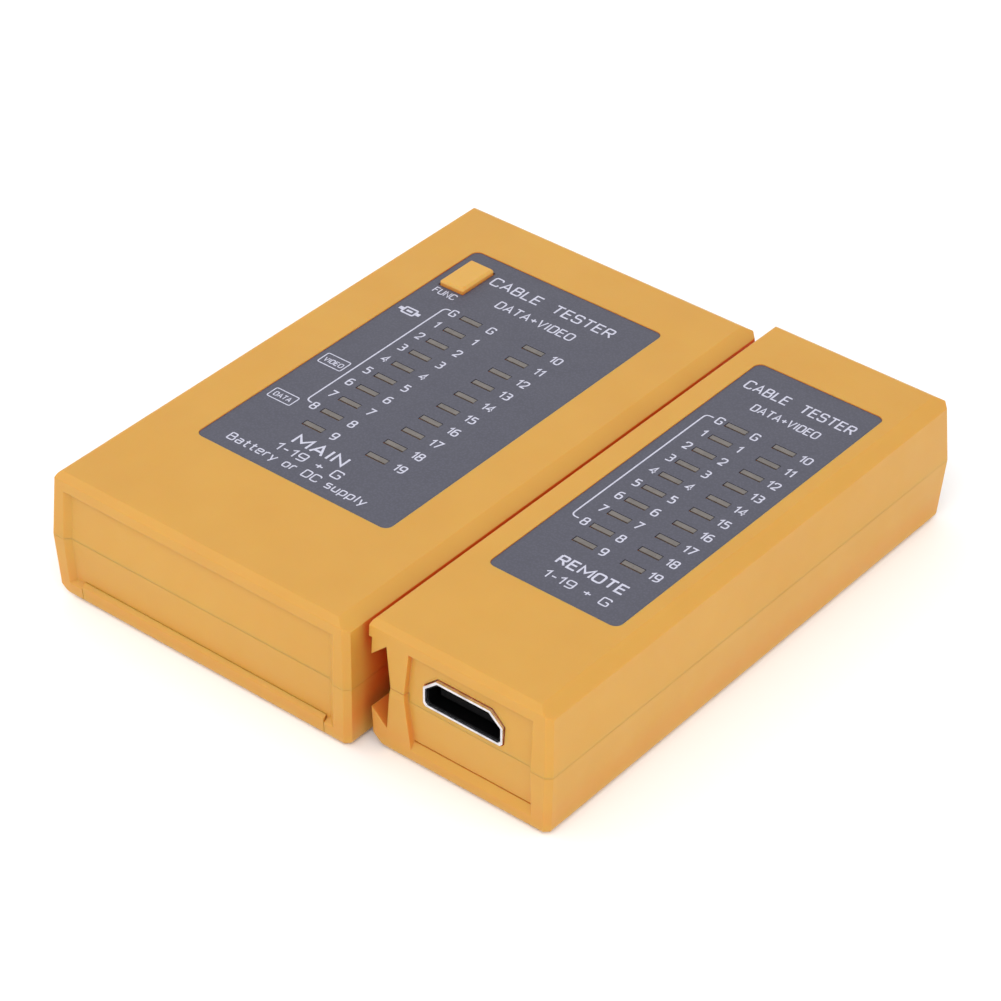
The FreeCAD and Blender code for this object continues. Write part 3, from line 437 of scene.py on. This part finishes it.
@dataclass(frozen=True)
class PlatedMetal(Finish):
    """Plated sheet or wire: bright, with fine drawing marks along one axis and a few dull spots."""

    colour: str = "#D9DADF"
    dull: str = "#8F9098"
    dull_mm: float = 1.6
    dull_share: Span = (0.0, 0.5)
    marks_mm: float = 0.12
    marks: Triple = (1.0, 0.06, 1.0)
    marks_depth_mm: float = 0.003
    rim_mm: float = 0.08
    roughness: float = 0.26
    drawn: Span = (-0.06, 0.12)         # how far the marks brighten or dull it

    def surface(self, pattern: Pattern) -> dict[str, Any]:
        """Drawing marks in the relief and in the gloss.

        Args:
            pattern: the patterns of the material.

        Returns:
            The Principled shader's inputs.
        """
        marks = pattern.noise(self.marks_mm, detail=2.0, stretch=self.marks)
        dull = pattern.spread(pattern.noise(self.dull_mm), self.dull_share)
        bright, worn = (self.roughness + change for change in self.drawn)
        return {
            "Base Color": pattern.blend(dull, linear(self.colour), linear(self.dull)),
            "Metallic": 1.0,
            "Roughness": pattern.spread(marks, (bright, worn)),
            "Normal": pattern.relief(marks, self.marks_depth_mm, pattern.soft_edges(self.rim_mm)),
        }


@dataclass(frozen=True)
class MouldedNylon(Finish):
    """Glass-filled nylon of the sockets and packages: dark, matt, with pale fibre flecks."""

    colour: str = "#17171A"
    fleck: str = "#2B2B2F"
    fleck_mm: float = 0.5
    fleck_run: Triple = (1.0, 0.35, 1.0)
    fleck_edge: Span = (0.5, 0.75)
    texture_mm: float = 0.2
    texture_depth_mm: float = 0.006
    rim_mm: float = 0.12
    shine: float = 0.5

    def surface(self, pattern: Pattern) -> dict[str, Any]:
        """Fibre flecks in the colour, mould texture in the relief.

        Args:
            pattern: the patterns of the material.

        Returns:
            The Principled shader's inputs.
        """
        fibres = pattern.noise(self.fleck_mm, detail=4.0, stretch=self.fleck_run)
        flecks = pattern.spread(fibres, pattern.FULL, self.fleck_edge)
        texture = pattern.noise(self.texture_mm, detail=2.0)
        return {
            "Base Color": pattern.blend(flecks, linear(self.colour), linear(self.fleck)),
            "Roughness": pattern.spread(fibres, (0.45, 0.62)),
            "Normal": pattern.relief(texture, self.texture_depth_mm, pattern.soft_edges(self.rim_mm)),
            "IOR": 1.53,
            "Specular IOR Level": self.shine,
        }


@dataclass(frozen=True)
class SolderMask(Finish):
    """Green mask over copper tracks: glossy, with the tracks showing as paler ridges."""

    colour: str = "#12502B"
    track: str = "#1F7040"
    pitch_mm: float = 2.54
    track_edge: Span = (0.52, 0.58)
    track_depth_mm: float = 0.03

    def surface(self, pattern: Pattern) -> dict[str, Any]:
        """Square-edged cells stand for track runs and pours.

        Args:
            pattern: the patterns of the material.

        Returns:
            The Principled shader's inputs.
        """
        edge = pattern.spread(pattern.cells(self.pitch_mm, Spacing.SQUARE), pattern.FULL, self.track_edge)
        return {
            "Base Color": pattern.blend(edge, linear(self.track), linear(self.colour)),
            "Roughness": 0.28,
            "Normal": pattern.relief(edge, self.track_depth_mm),
            "IOR": 1.55,
            "Coat Weight": 0.4,
        }


@dataclass(frozen=True)
class BatteryJacket(Finish):
    """Lacquered steel jacket: black with a copper-coloured end, lightly scuffed."""

    colour: str = "#1C1D20"
    band: str = "#A9683A"
    band_start_mm: float = 36.0
    band_edge_mm: float = 0.1
    scuff_mm: float = 2.2
    scuff_run: Triple = (0.3, 1.0, 1.0)
    scuff_depth_mm: float = 0.01

    def surface(self, pattern: Pattern) -> dict[str, Any]:
        """The copper-coloured end starts band_start_mm from the battery's left end.

        Args:
            pattern: the patterns of the material.

        Returns:
            The Principled shader's inputs.
        """
        low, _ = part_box("battery")
        start = low.x + self.band_start_mm * MM
        along = add(pattern.tree, "ShaderNodeSeparateXYZ", {"Vector": pattern.place}).outputs["X"]
        copper = pattern.spread(along, pattern.FULL, (start, start + self.band_edge_mm * MM))
        scuff = pattern.noise(self.scuff_mm, detail=5.0, stretch=self.scuff_run)
        return {
            "Base Color": pattern.blend(copper, linear(self.colour), linear(self.band)),
            "Metallic": 0.6,
            "Roughness": pattern.spread(scuff, (0.22, 0.45)),
            "Normal": pattern.relief(scuff, self.scuff_depth_mm),
        }


@dataclass(frozen=True)
class LeadSheath(Finish):
    """PVC sheath of a thin lead: soft gloss with rub marks."""

    colour: str = "#8E1512"
    rubbed: str = "#B0AAA6"
    rub_mm: float = 1.1
    rub_edge: Span = (0.5, 0.8)
    rub_share: Span = (0.0, 0.35)
    rub_depth_mm: float = 0.01

    def surface(self, pattern: Pattern) -> dict[str, Any]:
        """Rub marks lighten the colour and dull the gloss.

        Args:
            pattern: the patterns of the material.

        Returns:
            The Principled shader's inputs.
        """
        rub = pattern.noise(self.rub_mm)
        marks = pattern.spread(rub, self.rub_share, self.rub_edge)
        return {
            "Base Color": pattern.blend(marks, linear(self.colour), linear(self.rubbed)),
            "Roughness": pattern.spread(rub, (0.35, 0.55)),
            "Normal": pattern.relief(rub, self.rub_depth_mm),
            "IOR": 1.5,
        }


CASE_ABS = MouldedAbs("abs_moulded_amber")
BUTTON_ABS = MouldedAbs("abs_moulded_button", colour="#CF9F48", warm="#CB9A44", rim_mm=0.4, roughness=0.42)
FILM = PrintedFilm("polyester_film_slate")
INK = ScreenInk("screen_ink_pale")
LAMP = TintedResin("epoxy_lamp_unlit")
NICKEL = PlatedMetal("nickel_plated_steel", colour="#ECECF2", roughness=0.3)
GOLD = PlatedMetal("gold_plated_contact", colour="#D8AE55", roughness=0.24)
ZINC = PlatedMetal("zinc_plated_screw", colour="#B9BCC2", roughness=0.34, marks=(1.0, 1.0, 0.1))
TIN = PlatedMetal("tinned_can", colour="#C9CBCF", roughness=0.3)
NYLON = MouldedNylon("nylon_moulded_black")
# Painted shade: the video socket's insulator, which lines the socket, is near black and almost without shine,
# darker than its real black nylon, so it stands in for the shade inside the socket.
SOCKET_SHADE_NYLON = MouldedNylon("nylon_black_painted_shade", colour="#040405", fleck="#09090A", shine=0.05)
CERAMIC = MouldedNylon("ceramic_coated_dark", colour="#26211F", fleck="#4A403A")
BOARD = SolderMask("solder_mask_green")
JACKET = BatteryJacket("battery_jacket_lacquer")
RED_LEAD = LeadSheath("pvc_lead_red")
BLACK_LEAD = LeadSheath("pvc_lead_black", colour="#101012")


# ------------------------------------------------------------------ mesh building


@dataclass
class MeshStock:
    """Vertices and four-sided faces gathered from several shapes into one mesh."""

    points: list[np.ndarray] = field(default_factory=list)
    faces: list[np.ndarray] = field(default_factory=list)
    count: int = 0

    def take(self, points: np.ndarray, faces: np.ndarray) -> None:
        """Adds a shape.

        Args:
            points: its vertices, in metres, one row each.
            faces: its faces, one row each, numbered from its own first vertex.
        """
        self.points.append(points)
        self.faces.append(faces + self.count)
        self.count += len(points)

    def piece(self, name: str, finish: Finish, body: Body, slot: str) -> bpy.types.Object:
        """Makes the object, dresses it, and puts it on its body.

        Args:
            name: the piece's name.
            finish: what it is made of.
            body: the body it rides on.
            slot: not used.

        Returns:
            The object.
        """
        data = bpy.data.meshes.new(name)
        data.from_pydata(np.concatenate(self.points).tolist(), [], np.concatenate(self.faces).tolist())
        data.polygons.foreach_set("use_smooth", np.zeros(len(data.polygons), bool))
        data.update()
        data.materials.append(finish.material())
        thing = bpy.data.objects.new(name, data)
        bpy.context.scene.collection.objects.link(thing)
        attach(thing, body.value)
        LOG.info("built %s: %d faces", name, len(data.polygons))
        return thing


SHARPEST_TURN = 0.5     # cosine of half the sharpest turn at which a line still keeps its width


def stroke(
    path: np.ndarray, width: float, low: float, high: float, closed: bool,
) -> tuple[np.ndarray, np.ndarray]:
    """A flat-topped line: at each point of a path, a rectangle width wide and low to high tall.

    Each side point is the path's point plus or minus half the width along the left-hand normal of
    the mean direction there, widened by one over the cosine of half the turn so the line keeps its width.

    Args:
        path: points across the label, in metres, one row each.
        width: the line's width.
        low: height of its underside.
        high: height of its top.
        closed: whether the last point joins the first.

    Returns:
        Vertices and four-sided faces.
    """
    after = np.roll(path, -1, axis=0) - path
    before = path - np.roll(path, 1, axis=0)
    if not closed:
        after[-1] = before[-1]
        before[0] = after[0]
    after /= np.linalg.norm(after, axis=1, keepdims=True)
    before /= np.linalg.norm(before, axis=1, keepdims=True)
    mean = after + before
    mean /= np.linalg.norm(mean, axis=1, keepdims=True)
    widen = 1.0 / np.clip((mean * after).sum(1), SHARPEST_TURN, 1.0)
    normal = np.stack([-mean[:, 1], mean[:, 0]], 1) * (width / 2 * widen)[:, None]
    left, right = path + normal, path - normal
    ring = np.stack([
        np.column_stack([side, np.full(len(path), height)])
        for side, height in ((right, low), (left, low), (left, high), (right, high))
    ], 1)
    total = len(path)
    starts = np.arange(total if closed else total - 1) * 4
    nexts = (starts + 4) % (total * 4)
    faces = np.concatenate([
        np.stack([starts + k, nexts + k, nexts + (k + 1) % 4, starts + (k + 1) % 4], 1) for k in range(4)
    ])
    if not closed:
        last = (total - 1) * 4
        faces = np.concatenate([faces, [[0, 1, 2, 3], [last + 3, last + 2, last + 1, last]]])
    return ring.reshape(-1, 3), faces


def rounded_path(corners: Sequence[Point], radius: float, closed: bool, steps: int = 6) -> np.ndarray:
    """Rounds the corners of a path.

    Each inner corner becomes the quadratic curve whose ends lie radius back along its two sides and
    whose control point is the corner itself.

    Args:
        corners: the path's corners, in any unit.
        radius: how far back each rounding starts, in the same unit.
        closed: whether the last corner joins the first.
        steps: points on each rounding.

    Returns:
        The rounded path, one row a point.
    """
    spots = np.array(corners, float)
    inner = spots if closed else spots[1:-1]
    before = np.roll(spots, 1, axis=0) if closed else spots[:-2]
    after = np.roll(spots, -1, axis=0) if closed else spots[2:]
    back = before - inner
    ahead = after - inner
    start = inner + back / np.linalg.norm(back, axis=1, keepdims=True) * radius
    end = inner + ahead / np.linalg.norm(ahead, axis=1, keepdims=True) * radius
    t = np.linspace(0, 1, steps)[None, :, None]
    curve = (1 - t) ** 2 * start[:, None] + 2 * t * (1 - t) * inner[:, None] + t ** 2 * end[:, None]
    rounded = curve.reshape(-1, 2)
    return rounded if closed else np.concatenate([spots[:1], rounded, spots[-1:]])


def rectangle(across: Span, along: Span) -> list[Point]:
    """The corners of a rectangle, anticlockwise from the left front one."""
    (left, right), (front, rear) = across, along
    return [(left, front), (right, front), (right, rear), (left, rear)]


# The pen lines of each character, on a grid where a capital is one unit tall: the character's width,
# then for each line how far its corners are rounded and the corners it passes. A line that ends where
# it starts is closed.
GLYPHS: dict[str, tuple[float, tuple[PenLine, ...]]] = {
    " ": (0.3, ()),
    "+": (0.5, ((0, ((0, 0.45), (0.5, 0.45))), (0, ((0.25, 0.2), (0.25, 0.7))))),
    "-": (0.32, ((0, ((0, 0.45), (0.32, 0.45))),)),
    "0": (0.55, ((0.25, ((0, 0), (0.55, 0), (0.55, 1), (0, 1), (0, 0))),)),
    "1": (0.3, ((0, ((0, 0.74), (0.26, 1), (0.26, 0))),)),
    "2": (0.56, ((0.2, ((0, 0.74), (0, 1), (0.55, 1), (0.55, 0.55), (0.02, 0))), (0, ((0, 0), (0.56, 0))))),
    "3": (0.55, (
        (0.2, ((0, 1), (0.53, 1), (0.53, 0.53), (0.15, 0.53))),
        (0.2, ((0.15, 0.53), (0.55, 0.53), (0.55, 0), (0, 0))),
    )),
    "4": (0.58, ((0, ((0.42, 0), (0.42, 1), (0, 0.3), (0.58, 0.3))),)),
    "5": (0.55, (
        (0, ((0.52, 1), (0.06, 1), (0.03, 0.56))),
        (0.24, ((0.03, 0.58), (0.55, 0.62), (0.55, 0), (0, 0.02))),
    )),
    "6": (0.55, (
        (0.2, ((0, 0), (0.55, 0), (0.55, 0.58), (0, 0.58), (0, 0))),
        (0.3, ((0, 0.3), (0, 1), (0.5, 1))),
    )),
    "7": (0.55, ((0, ((0, 1), (0.55, 1), (0.18, 0))),)),
    "8": (0.55, (
        (0.18, ((0, 0), (0.55, 0), (0.55, 0.52), (0, 0.52), (0, 0))),
        (0.17, ((0.03, 0.52), (0.52, 0.52), (0.52, 1), (0.03, 1), (0.03, 0.52))),
    )),
    "9": (0.55, (
        (0.2, ((0, 0.42), (0.55, 0.42), (0.55, 1), (0, 1), (0, 0.42))),
        (0.3, ((0.55, 0.7), (0.55, 0), (0.05, 0))),
    )),
    "A": (0.64, ((0, ((0, 0), (0.32, 1), (0.64, 0))), (0, ((0.12, 0.32), (0.52, 0.32))))),
    "B": (0.56, (
        (0, ((0, 0), (0, 1))),
        (0.18, ((0, 1), (0.5, 1), (0.5, 0.53), (0, 0.53))),
        (0.18, ((0, 0.53), (0.56, 0.53), (0.56, 0), (0, 0))),
    )),
    "C": (0.58, ((0.2, ((0.58, 0.78), (0.58, 1), (0, 1), (0, 0), (0.58, 0), (0.58, 0.22))),)),
    "D": (0.58, ((0, ((0, 0), (0, 1))), (0.26, ((0, 1), (0.58, 1), (0.58, 0), (0, 0))))),
    "E": (0.54, ((0, ((0.52, 1), (0, 1), (0, 0), (0.54, 0))), (0, ((0, 0.53), (0.46, 0.53))))),
    "F": (0.52, ((0, ((0, 0), (0, 1), (0.52, 1))), (0, ((0, 0.52), (0.44, 0.52))))),
    "G": (0.6, ((0.17, ((0.6, 0.8), (0.6, 1), (0, 1), (0, 0), (0.6, 0), (0.6, 0.48), (0.34, 0.48))),)),
    "I": (0.1, ((0, ((0.05, 0), (0.05, 1))),)),
    "L": (0.5, ((0, ((0, 1), (0, 0), (0.5, 0))),)),
    "M": (0.8, ((0, ((0, 0), (0, 1), (0.4, 0.3), (0.8, 1), (0.8, 0))),)),
    "N": (0.6, ((0, ((0, 0), (0, 1), (0.6, 0), (0.6, 1))),)),
    "O": (0.62, ((0.26, ((0, 0), (0.62, 0), (0.62, 1), (0, 1), (0, 0))),)),
    "R": (0.58, (
        (0, ((0, 0), (0, 1))),
        (0.18, ((0, 1), (0.54, 1), (0.54, 0.5), (0, 0.5))),
        (0, ((0.28, 0.5), (0.58, 0))),
    )),
    "S": (0.56, (
        (0.16, ((0.54, 0.8), (0.54, 1), (0, 1), (0, 0.53), (0.56, 0.53), (0.56, 0), (0, 0), (0, 0.2))),
    )),
    "T": (0.6, ((0, ((0, 1), (0.6, 1))), (0, ((0.3, 1), (0.3, 0))))),
    "U": (0.6, ((0.24, ((0, 1), (0, 0), (0.6, 0), (0.6, 1))),)),
    "V": (0.6, ((0, ((0, 1), (0.3, 0), (0.6, 1))),)),
    "a": (0.46, (
        (0.15, ((0, 0), (0.46, 0), (0.46, 0.4), (0, 0.4), (0, 0))),
        (0.18, ((0.04, 0.7), (0.46, 0.7), (0.46, 0))),
    )),
    "e": (0.46, ((0.15, ((0, 0.36), (0.46, 0.36), (0.46, 0.7), (0, 0.7), (0, 0), (0.44, 0))),)),
    "l": (0.1, ((0, ((0.05, 0), (0.05, 1))),)),
    "o": (0.46, ((0.2, ((0, 0), (0.46, 0), (0.46, 0.7), (0, 0.7), (0, 0))),)),
    "p": (0.46, ((0, ((0, -0.28), (0, 0.7))), (0.18, ((0, 0), (0.46, 0), (0.46, 0.7), (0, 0.7), (0, 0))))),
    "r": (0.32, ((0, ((0, 0), (0, 0.7))), (0, ((0, 0.5), (0.1, 0.7), (0.32, 0.7))))),
    "s": (0.42, ((0.13, ((0.4, 0.7), (0, 0.7), (0, 0.37), (0.42, 0.37), (0.42, 0), (0, 0))),)),
    "t": (0.38, ((0.14, ((0.14, 1), (0.14, 0), (0.38, 0))), (0, ((0, 0.7), (0.36, 0.7))))),
    "u": (0.44, ((0.18, ((0, 0.7), (0, 0), (0.44, 0))), (0, ((0.44, 0.7), (0.44, 0))))),
    "y": (0.48, ((0, ((0, 0.7), (0.24, 0))), (0, ((0.48, 0.7), (0.14, -0.28))))),
}
LETTER_GAP = 0.24       # between two letters, in capital heights


def lettering(text: str) -> tuple[float, list[tuple[float, bool, np.ndarray]]]:
    """Sets words in pen lines.

    Args:
        text: the words.

    Returns:
        The words' width in capital heights, and for each pen line its rounding, whether it closes, and
        its corners.
    """
    lines = []
    start = 0.0
    for letter in text:
        width, strokes = GLYPHS[letter]
        for radius, corners in strokes:
            spots = np.array(corners, float) + (start, 0.0)
            closed = corners[0] == corners[-1]
            lines.append((radius, closed, spots[:-1] if closed else spots))
        start += width + LETTER_GAP
    return start - LETTER_GAP, lines


# ------------------------------------------------------------------ printed legends


@dataclass(frozen=True)
class Words:
    """One line of print: its two ends, its baseline, its capital height and its pen's share of that."""

    text: str
    left: float
    right: float
    base: float
    cap: float
    pen: float = 0.125


@dataclass(frozen=True)
class Bracket:
    """A bracket that opens to the right: where its spine stands, its front and rear ends, and its tips."""

    spine: float
    front: float
    rear: float
    tips: float
    corner: float = 0.9


@dataclass(frozen=True)
class Outline:
    """A thin rounded box round a word."""

    across: Span
    along: Span
    corner: float = 0.35
    line: float = 0.2


@dataclass(frozen=True)
class Plug:
    """A small plug: its outline, the slot in it, and a short arm to each side."""

    centre: Point
    half_width: float = 1.2
    half_height: float = 0.85
    corner: float = 0.3
    outline: float = 0.34
    slot_half: float = 0.6
    slot_line: float = 0.5
    arm: Span = (1.3, 2.15)
    arm_line: float = 0.75


@dataclass
class Legend:
    """The print on one label, laid out in millimetres from the label's left front corner."""

    name: str
    label: str
    body: Body
    words: Sequence[Words]
    numeral_columns: Triple             # the middles of the three columns of wire names
    row_first: float                    # the front row of lamps
    row_pitch: float
    bracket: Bracket
    outlines: Sequence[Outline] = ()
    plugs: Sequence[Plug] = ()
    rows: int = 10                      # of lamps, in each of the two columns
    numeral_cap: float = 2.0
    numeral_pen: float = 0.135
    line_width: float = 0.26
    ink: float = 0.014                  # its height above the film; half as much again sinks into it
    lift: float = 0.003                 # the pen lines of a letter lie this far apart in height
    lifts: int = 3                      # and start again after this many
    origin: np.ndarray = field(init=False)
    surface: float = field(init=False)
    stock: MeshStock = field(default_factory=MeshStock, init=False)

    def __post_init__(self) -> None:
        """Finds the label's corner and its face on the frame."""
        low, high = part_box(self.label)
        self.origin = np.array([low.x, low.y])
        self.surface = high.z

    def place(self, points: np.ndarray) -> np.ndarray:
        """Moves millimetres across the label to metres in the frame."""
        return points * MM + self.origin

    def line(
        self, corners: Sequence[Point] | np.ndarray, radius: float = 0.0, closed: bool = False,
        width: float | None = None, layer: int = 0,
    ) -> None:
        """Prints a line through corners.

        Args:
            corners: where the line passes.
            radius: how far its corners are rounded.
            closed: whether its last corner joins its first.
            width: its width, when not the legend's own.
            layer: how many lifts the ink is raised, so that lines that cross do not share one plane.
        """
        path = rounded_path(corners, radius, closed) if radius else np.array(corners, float)
        low = self.surface - self.ink * MM / 2
        high = self.surface + (self.ink + layer * self.lift) * MM
        self.stock.take(*stroke(self.place(path), (width or self.line_width) * MM, low, high, closed))

    def write(self, line: Words, centred: bool = False) -> None:
        """Prints a line of words, scaled to its width and capital height.

        Args:
            line: the words and their place.
            centred: keep the letters' own proportions and centre them between left and right.
        """
        pen = line.cap * line.pen
        total, strokes = lettering(line.text)
        tall = line.cap - pen
        wide = tall if centred else (line.right - line.left - pen) / total
        start = (line.left + line.right - wide * total) / 2
        scale = np.array([wide, tall])
        shift = np.array([start, line.base + pen / 2])
        for number, (radius, closed, corners) in enumerate(strokes):
            self.line(corners * scale + shift, radius * min(wide, tall), closed, pen, number % self.lifts)

    def numerals(self) -> None:
        """Names the wires on both sides of the first column of lamps and to the right of the second.

        From the rear, the first column has ground and wires 1 to 9, of which the last is not named on the
        left, and the second has wires 10 to 19.
        """
        left, middle, right = self.numeral_columns
        rear = self.row_first + self.row_pitch * (self.rows - 1)
        for row in range(self.rows):
            wire = str(row) if row else "G"
            base = rear - self.row_pitch * row - self.numeral_cap / 2
            named = [(middle, wire), (right, str(self.rows + row))]
            if row < self.rows - 1:
                named.insert(0, (left, wire))
            for column, text in named:
                name = Words(text, column, column, base, self.numeral_cap, self.numeral_pen)
                self.write(name, centred=True)

    def pictogram(self, plug: Plug) -> None:
        """Prints a small plug.

        Args:
            plug: its place and its sizes.
        """
        x, y = plug.centre
        across = (x - plug.half_width, x + plug.half_width)
        along = (y - plug.half_height, y + plug.half_height)
        self.line(rectangle(across, along), plug.corner, True, plug.outline)
        self.line([(x - plug.slot_half, y), (x + plug.slot_half, y)], width=plug.slot_line, layer=1)
        for side in (-1, 1):
            start, end = (x + side * reach for reach in plug.arm)
            self.line([(start, y), (end, y)], width=plug.arm_line, layer=2)

    def build(self) -> bpy.types.Object:
        """Prints everything and makes the piece.

        Returns:
            The print, as one object.
        """
        for line in self.words:
            self.write(line)
        self.numerals()
        bar = self.bracket
        ends = [(bar.tips, bar.rear), (bar.spine, bar.rear), (bar.spine, bar.front), (bar.tips, bar.front)]
        self.line(ends, bar.corner)
        for box in self.outlines:
            self.line(rectangle(box.across, box.along), box.corner, True, box.line)
        for plug in self.plugs:
            self.pictogram(plug)
        return self.stock.piece(self.name, INK, self.body, LABEL_SLOT)


# ------------------------------------------------------------------ sub-assemblies


@dataclass
class Unit:
    """One unit of the tester: its case, label, board, lamps and sockets, and the legend on its label."""

    prefix: str
    legend: Legend

    def node(self, part: str) -> str:
        """Full node name of one of the unit's parts."""
        return f"{self.prefix}_{part}"

    def dress(self) -> None:
        """Dresses every CAD node that both units have."""
        CASE_ABS.dress(self.node("top_shell"), self.node("bottom_shell"))
        FILM.dress(self.node("label"))
        LAMP.dress(self.node("indicator_leds"))
        BOARD.dress(self.node("circuit_board"))
        NICKEL.dress(self.node("video_shell"))
        NYLON.dress(self.node("network_socket"))
        # painted shade inside the video socket
        SOCKET_SHADE_NYLON.dress(self.node("video_insulator"))
        GOLD.dress(self.node("video_contacts"), self.node("network_contacts"))
        CERAMIC.dress(self.node("resistors"))
        ZINC.dress(self.node("case_screws"), self.node("board_screws"))

    def build(self) -> None:
        """Dresses the unit and prints its label."""
        self.dress()
        self.legend.build()


@dataclass
class MainUnit(Unit):
    """The unit with the battery, the button and the controller."""

    def dress(self) -> None:
        """Adds the main unit's own parts to the shared ones."""
        super().dress()
        CASE_ABS.dress("battery_door")
        BUTTON_ABS.dress("function_button")
        NYLON.dress("switch_body", "switch_plunger", "power_jack", "battery_clip", "controller_chip")
        NICKEL.dress("power_jack_pin")
        TIN.dress("battery_terminals", "clock_crystal", "supply_capacitor")
        JACKET.dress("battery")
        RED_LEAD.dress("battery_lead_red")
        BLACK_LEAD.dress("battery_lead_black")


@dataclass
class RemoteUnit(Unit):
    """The slimmer unit, with no battery of its own."""

    def dress(self) -> None:
        """Adds the remote's diodes to the shared parts."""
        super().dress()
        CERAMIC.dress("remote_diodes")



MAIN_LEGEND = Legend(
    name="main_print", label="main_label", body=Body.MAIN,
    words=(
        Words("CABLE", 7.83, 18.23, 62.85, 2.55),
        Words("TESTER", 20.83, 33.33, 62.85, 2.55),
        Words("DATA+VIDEO", 12.93, 28.93, 58.05, 2.2),
        Words("FUNC", 1.93, 6.53, 55.15, 1.65),
        Words("MAIN", 12.8, 23.4, 7.85, 2.7, 0.155),
        Words("1-19 + G", 11.73, 25.23, 4.95, 2.1),
        Words("Battery or DC supply", 4.23, 32.63, 2.25, 1.95),
        Words("VIDEO", 1.6, 5.5, 28.2, 1.2, 0.15),
        Words("DATA", 1.95, 5.45, 15.75, 1.2, 0.15),
    ),
    numeral_columns=(9.23, 17.23, 30.73), row_first=13.43, row_pitch=4.315,
    bracket=Bracket(spine=7.13, front=18.1, rear=52.6, tips=8.33),
    outlines=(Outline((1.13, 5.93), (27.5, 30.4)), Outline((1.33, 6.13), (15.1, 17.7))),
    plugs=(Plug((3.23, 48.1)),),
)
REMOTE_LEGEND = Legend(
    name="remote_print", label="remote_label", body=Body.REMOTE,
    words=(
        Words("CABLE", 1.81, 10.31, 62.25, 2.45),
        Words("TESTER", 12.61, 22.91, 62.25, 2.45),
        Words("DATA+VIDEO", 6.46, 19.31, 57.75, 2.05),
        Words("REMOTE", 7.41, 20.31, 6.7, 2.4, 0.155),
        Words("1-19 + G", 7.91, 20.21, 2.95, 2.0),
    ),
    numeral_columns=(4.81, 11.71, 21.41), row_first=13.43, row_pitch=4.315,
    bracket=Bracket(spine=2.06, front=17.75, rear=52.35, tips=3.51),
)


# ------------------------------------------------------------------ studio


@dataclass(frozen=True)
class Lamp:
    """A square soft light aimed at the middle of the floor."""

    name: str
    place: Triple
    power: float
    size: float

    def build(self) -> None:
        """Adds the light, turned to the middle of the floor."""
        data = bpy.data.lights.new(self.name, "AREA")
        data.energy = self.power
        data.size = self.size
        lamp = bpy.data.objects.new(self.name, data)
        lamp.rotation_mode = "QUATERNION"
        lamp.rotation_quaternion = (-Vector(self.place)).to_track_quat("-Z", "Y")
        lamp.location = self.place
        bpy.context.scene.collection.objects.link(lamp)


@dataclass(frozen=True)
class Studio:
    """Pale floor, soft light from all sides, and the camera; places and sizes without a unit are in metres."""

    camera_place: Triple = (0.289075, -0.36105, 0.35201)
    forward: Triple = (-0.50321, 0.62720, -0.59447)
    roll_deg: float = 0.738
    lens_mm: float = 129.79
    film_mm: float = 36.0
    nearest: float = 0.01
    sky: float = 0.92
    white: tuple[float, float, float, float] = (1.0, 1.0, 1.0, 1.0)
    paper: tuple[float, float, float, float] = (0.97, 0.97, 0.97, 1.0)
    floor_reach: float = 6.0
    floor_drop_mm: float = 0.05         # keeps the floor from sharing a plane with the undersides
    lamps: tuple[Lamp, ...] = (
        Lamp("key", (0.35, -0.75, 0.95), 6.0, 0.9),
        Lamp("fill", (-0.9, -0.3, 0.7), 2.6, 0.9),
        Lamp("side", (1.15, 0.1, 0.45), 2.4, 0.9),
    )

    def camera(self) -> None:
        """Places the camera from its place, its forward direction and its roll."""
        data = bpy.data.cameras.new("camera")
        data.lens = self.lens_mm
        data.sensor_width = self.film_mm
        data.clip_start = self.nearest
        thing = bpy.data.objects.new("camera", data)
        ahead = Vector(self.forward).normalized()
        across = ahead.cross(Vector((0, 0, 1))).normalized()
        upright = across.cross(ahead)
        angle = math.radians(self.roll_deg)
        right = across * math.cos(angle) + upright * math.sin(angle)
        top = right.cross(ahead)
        turn = Matrix((right, top, -ahead)).transposed().to_4x4()
        thing.matrix_world = Matrix.Translation(self.camera_place) @ turn
        bpy.context.scene.collection.objects.link(thing)
        bpy.context.scene.camera = thing

    def floor(self) -> None:
        """A wide pale sheet just under the object."""
        reach, level = self.floor_reach, -self.floor_drop_mm * MM
        data = bpy.data.meshes.new("floor")
        corners = rectangle((-reach, reach), (-reach, reach))
        data.from_pydata([(x, y, level) for x, y in corners], [], [(0, 1, 2, 3)])
        paper = bpy.data.materials.new("studio_paper")
        paper.use_nodes = True
        tree = paper.node_tree
        tree.nodes.clear()
        matt = {"Base Color": self.paper, "Roughness": 0.9, "Specular IOR Level": 0.1}
        shader = add(tree, "ShaderNodeBsdfPrincipled", matt)
        add(tree, "ShaderNodeOutputMaterial", {"Surface": shader.outputs[0]})
        data.materials.append(paper)
        sheet = bpy.data.objects.new("floor", data)
        bpy.context.scene.collection.objects.link(sheet)

    def build(self) -> None:
        """Sets the whole studio up."""
        world = bpy.data.worlds.new("studio")
        bpy.context.scene.world = world
        world.use_nodes = True
        sky = world.node_tree.nodes["Background"]
        sky.inputs["Color"].default_value = self.white
        sky.inputs["Strength"].default_value = self.sky
        for lamp in self.lamps:
            lamp.build()
        self.floor()
        self.camera()
        bpy.context.scene.view_settings.view_transform = "Standard"


def main() -> None:
    """Builds the units and the studio."""
    logging.basicConfig(level=logging.INFO)
    MainUnit("main", MAIN_LEGEND).build()
    RemoteUnit("remote", REMOTE_LEGEND).build()
    Studio().build()


if __name__ == "__main__":
    main()
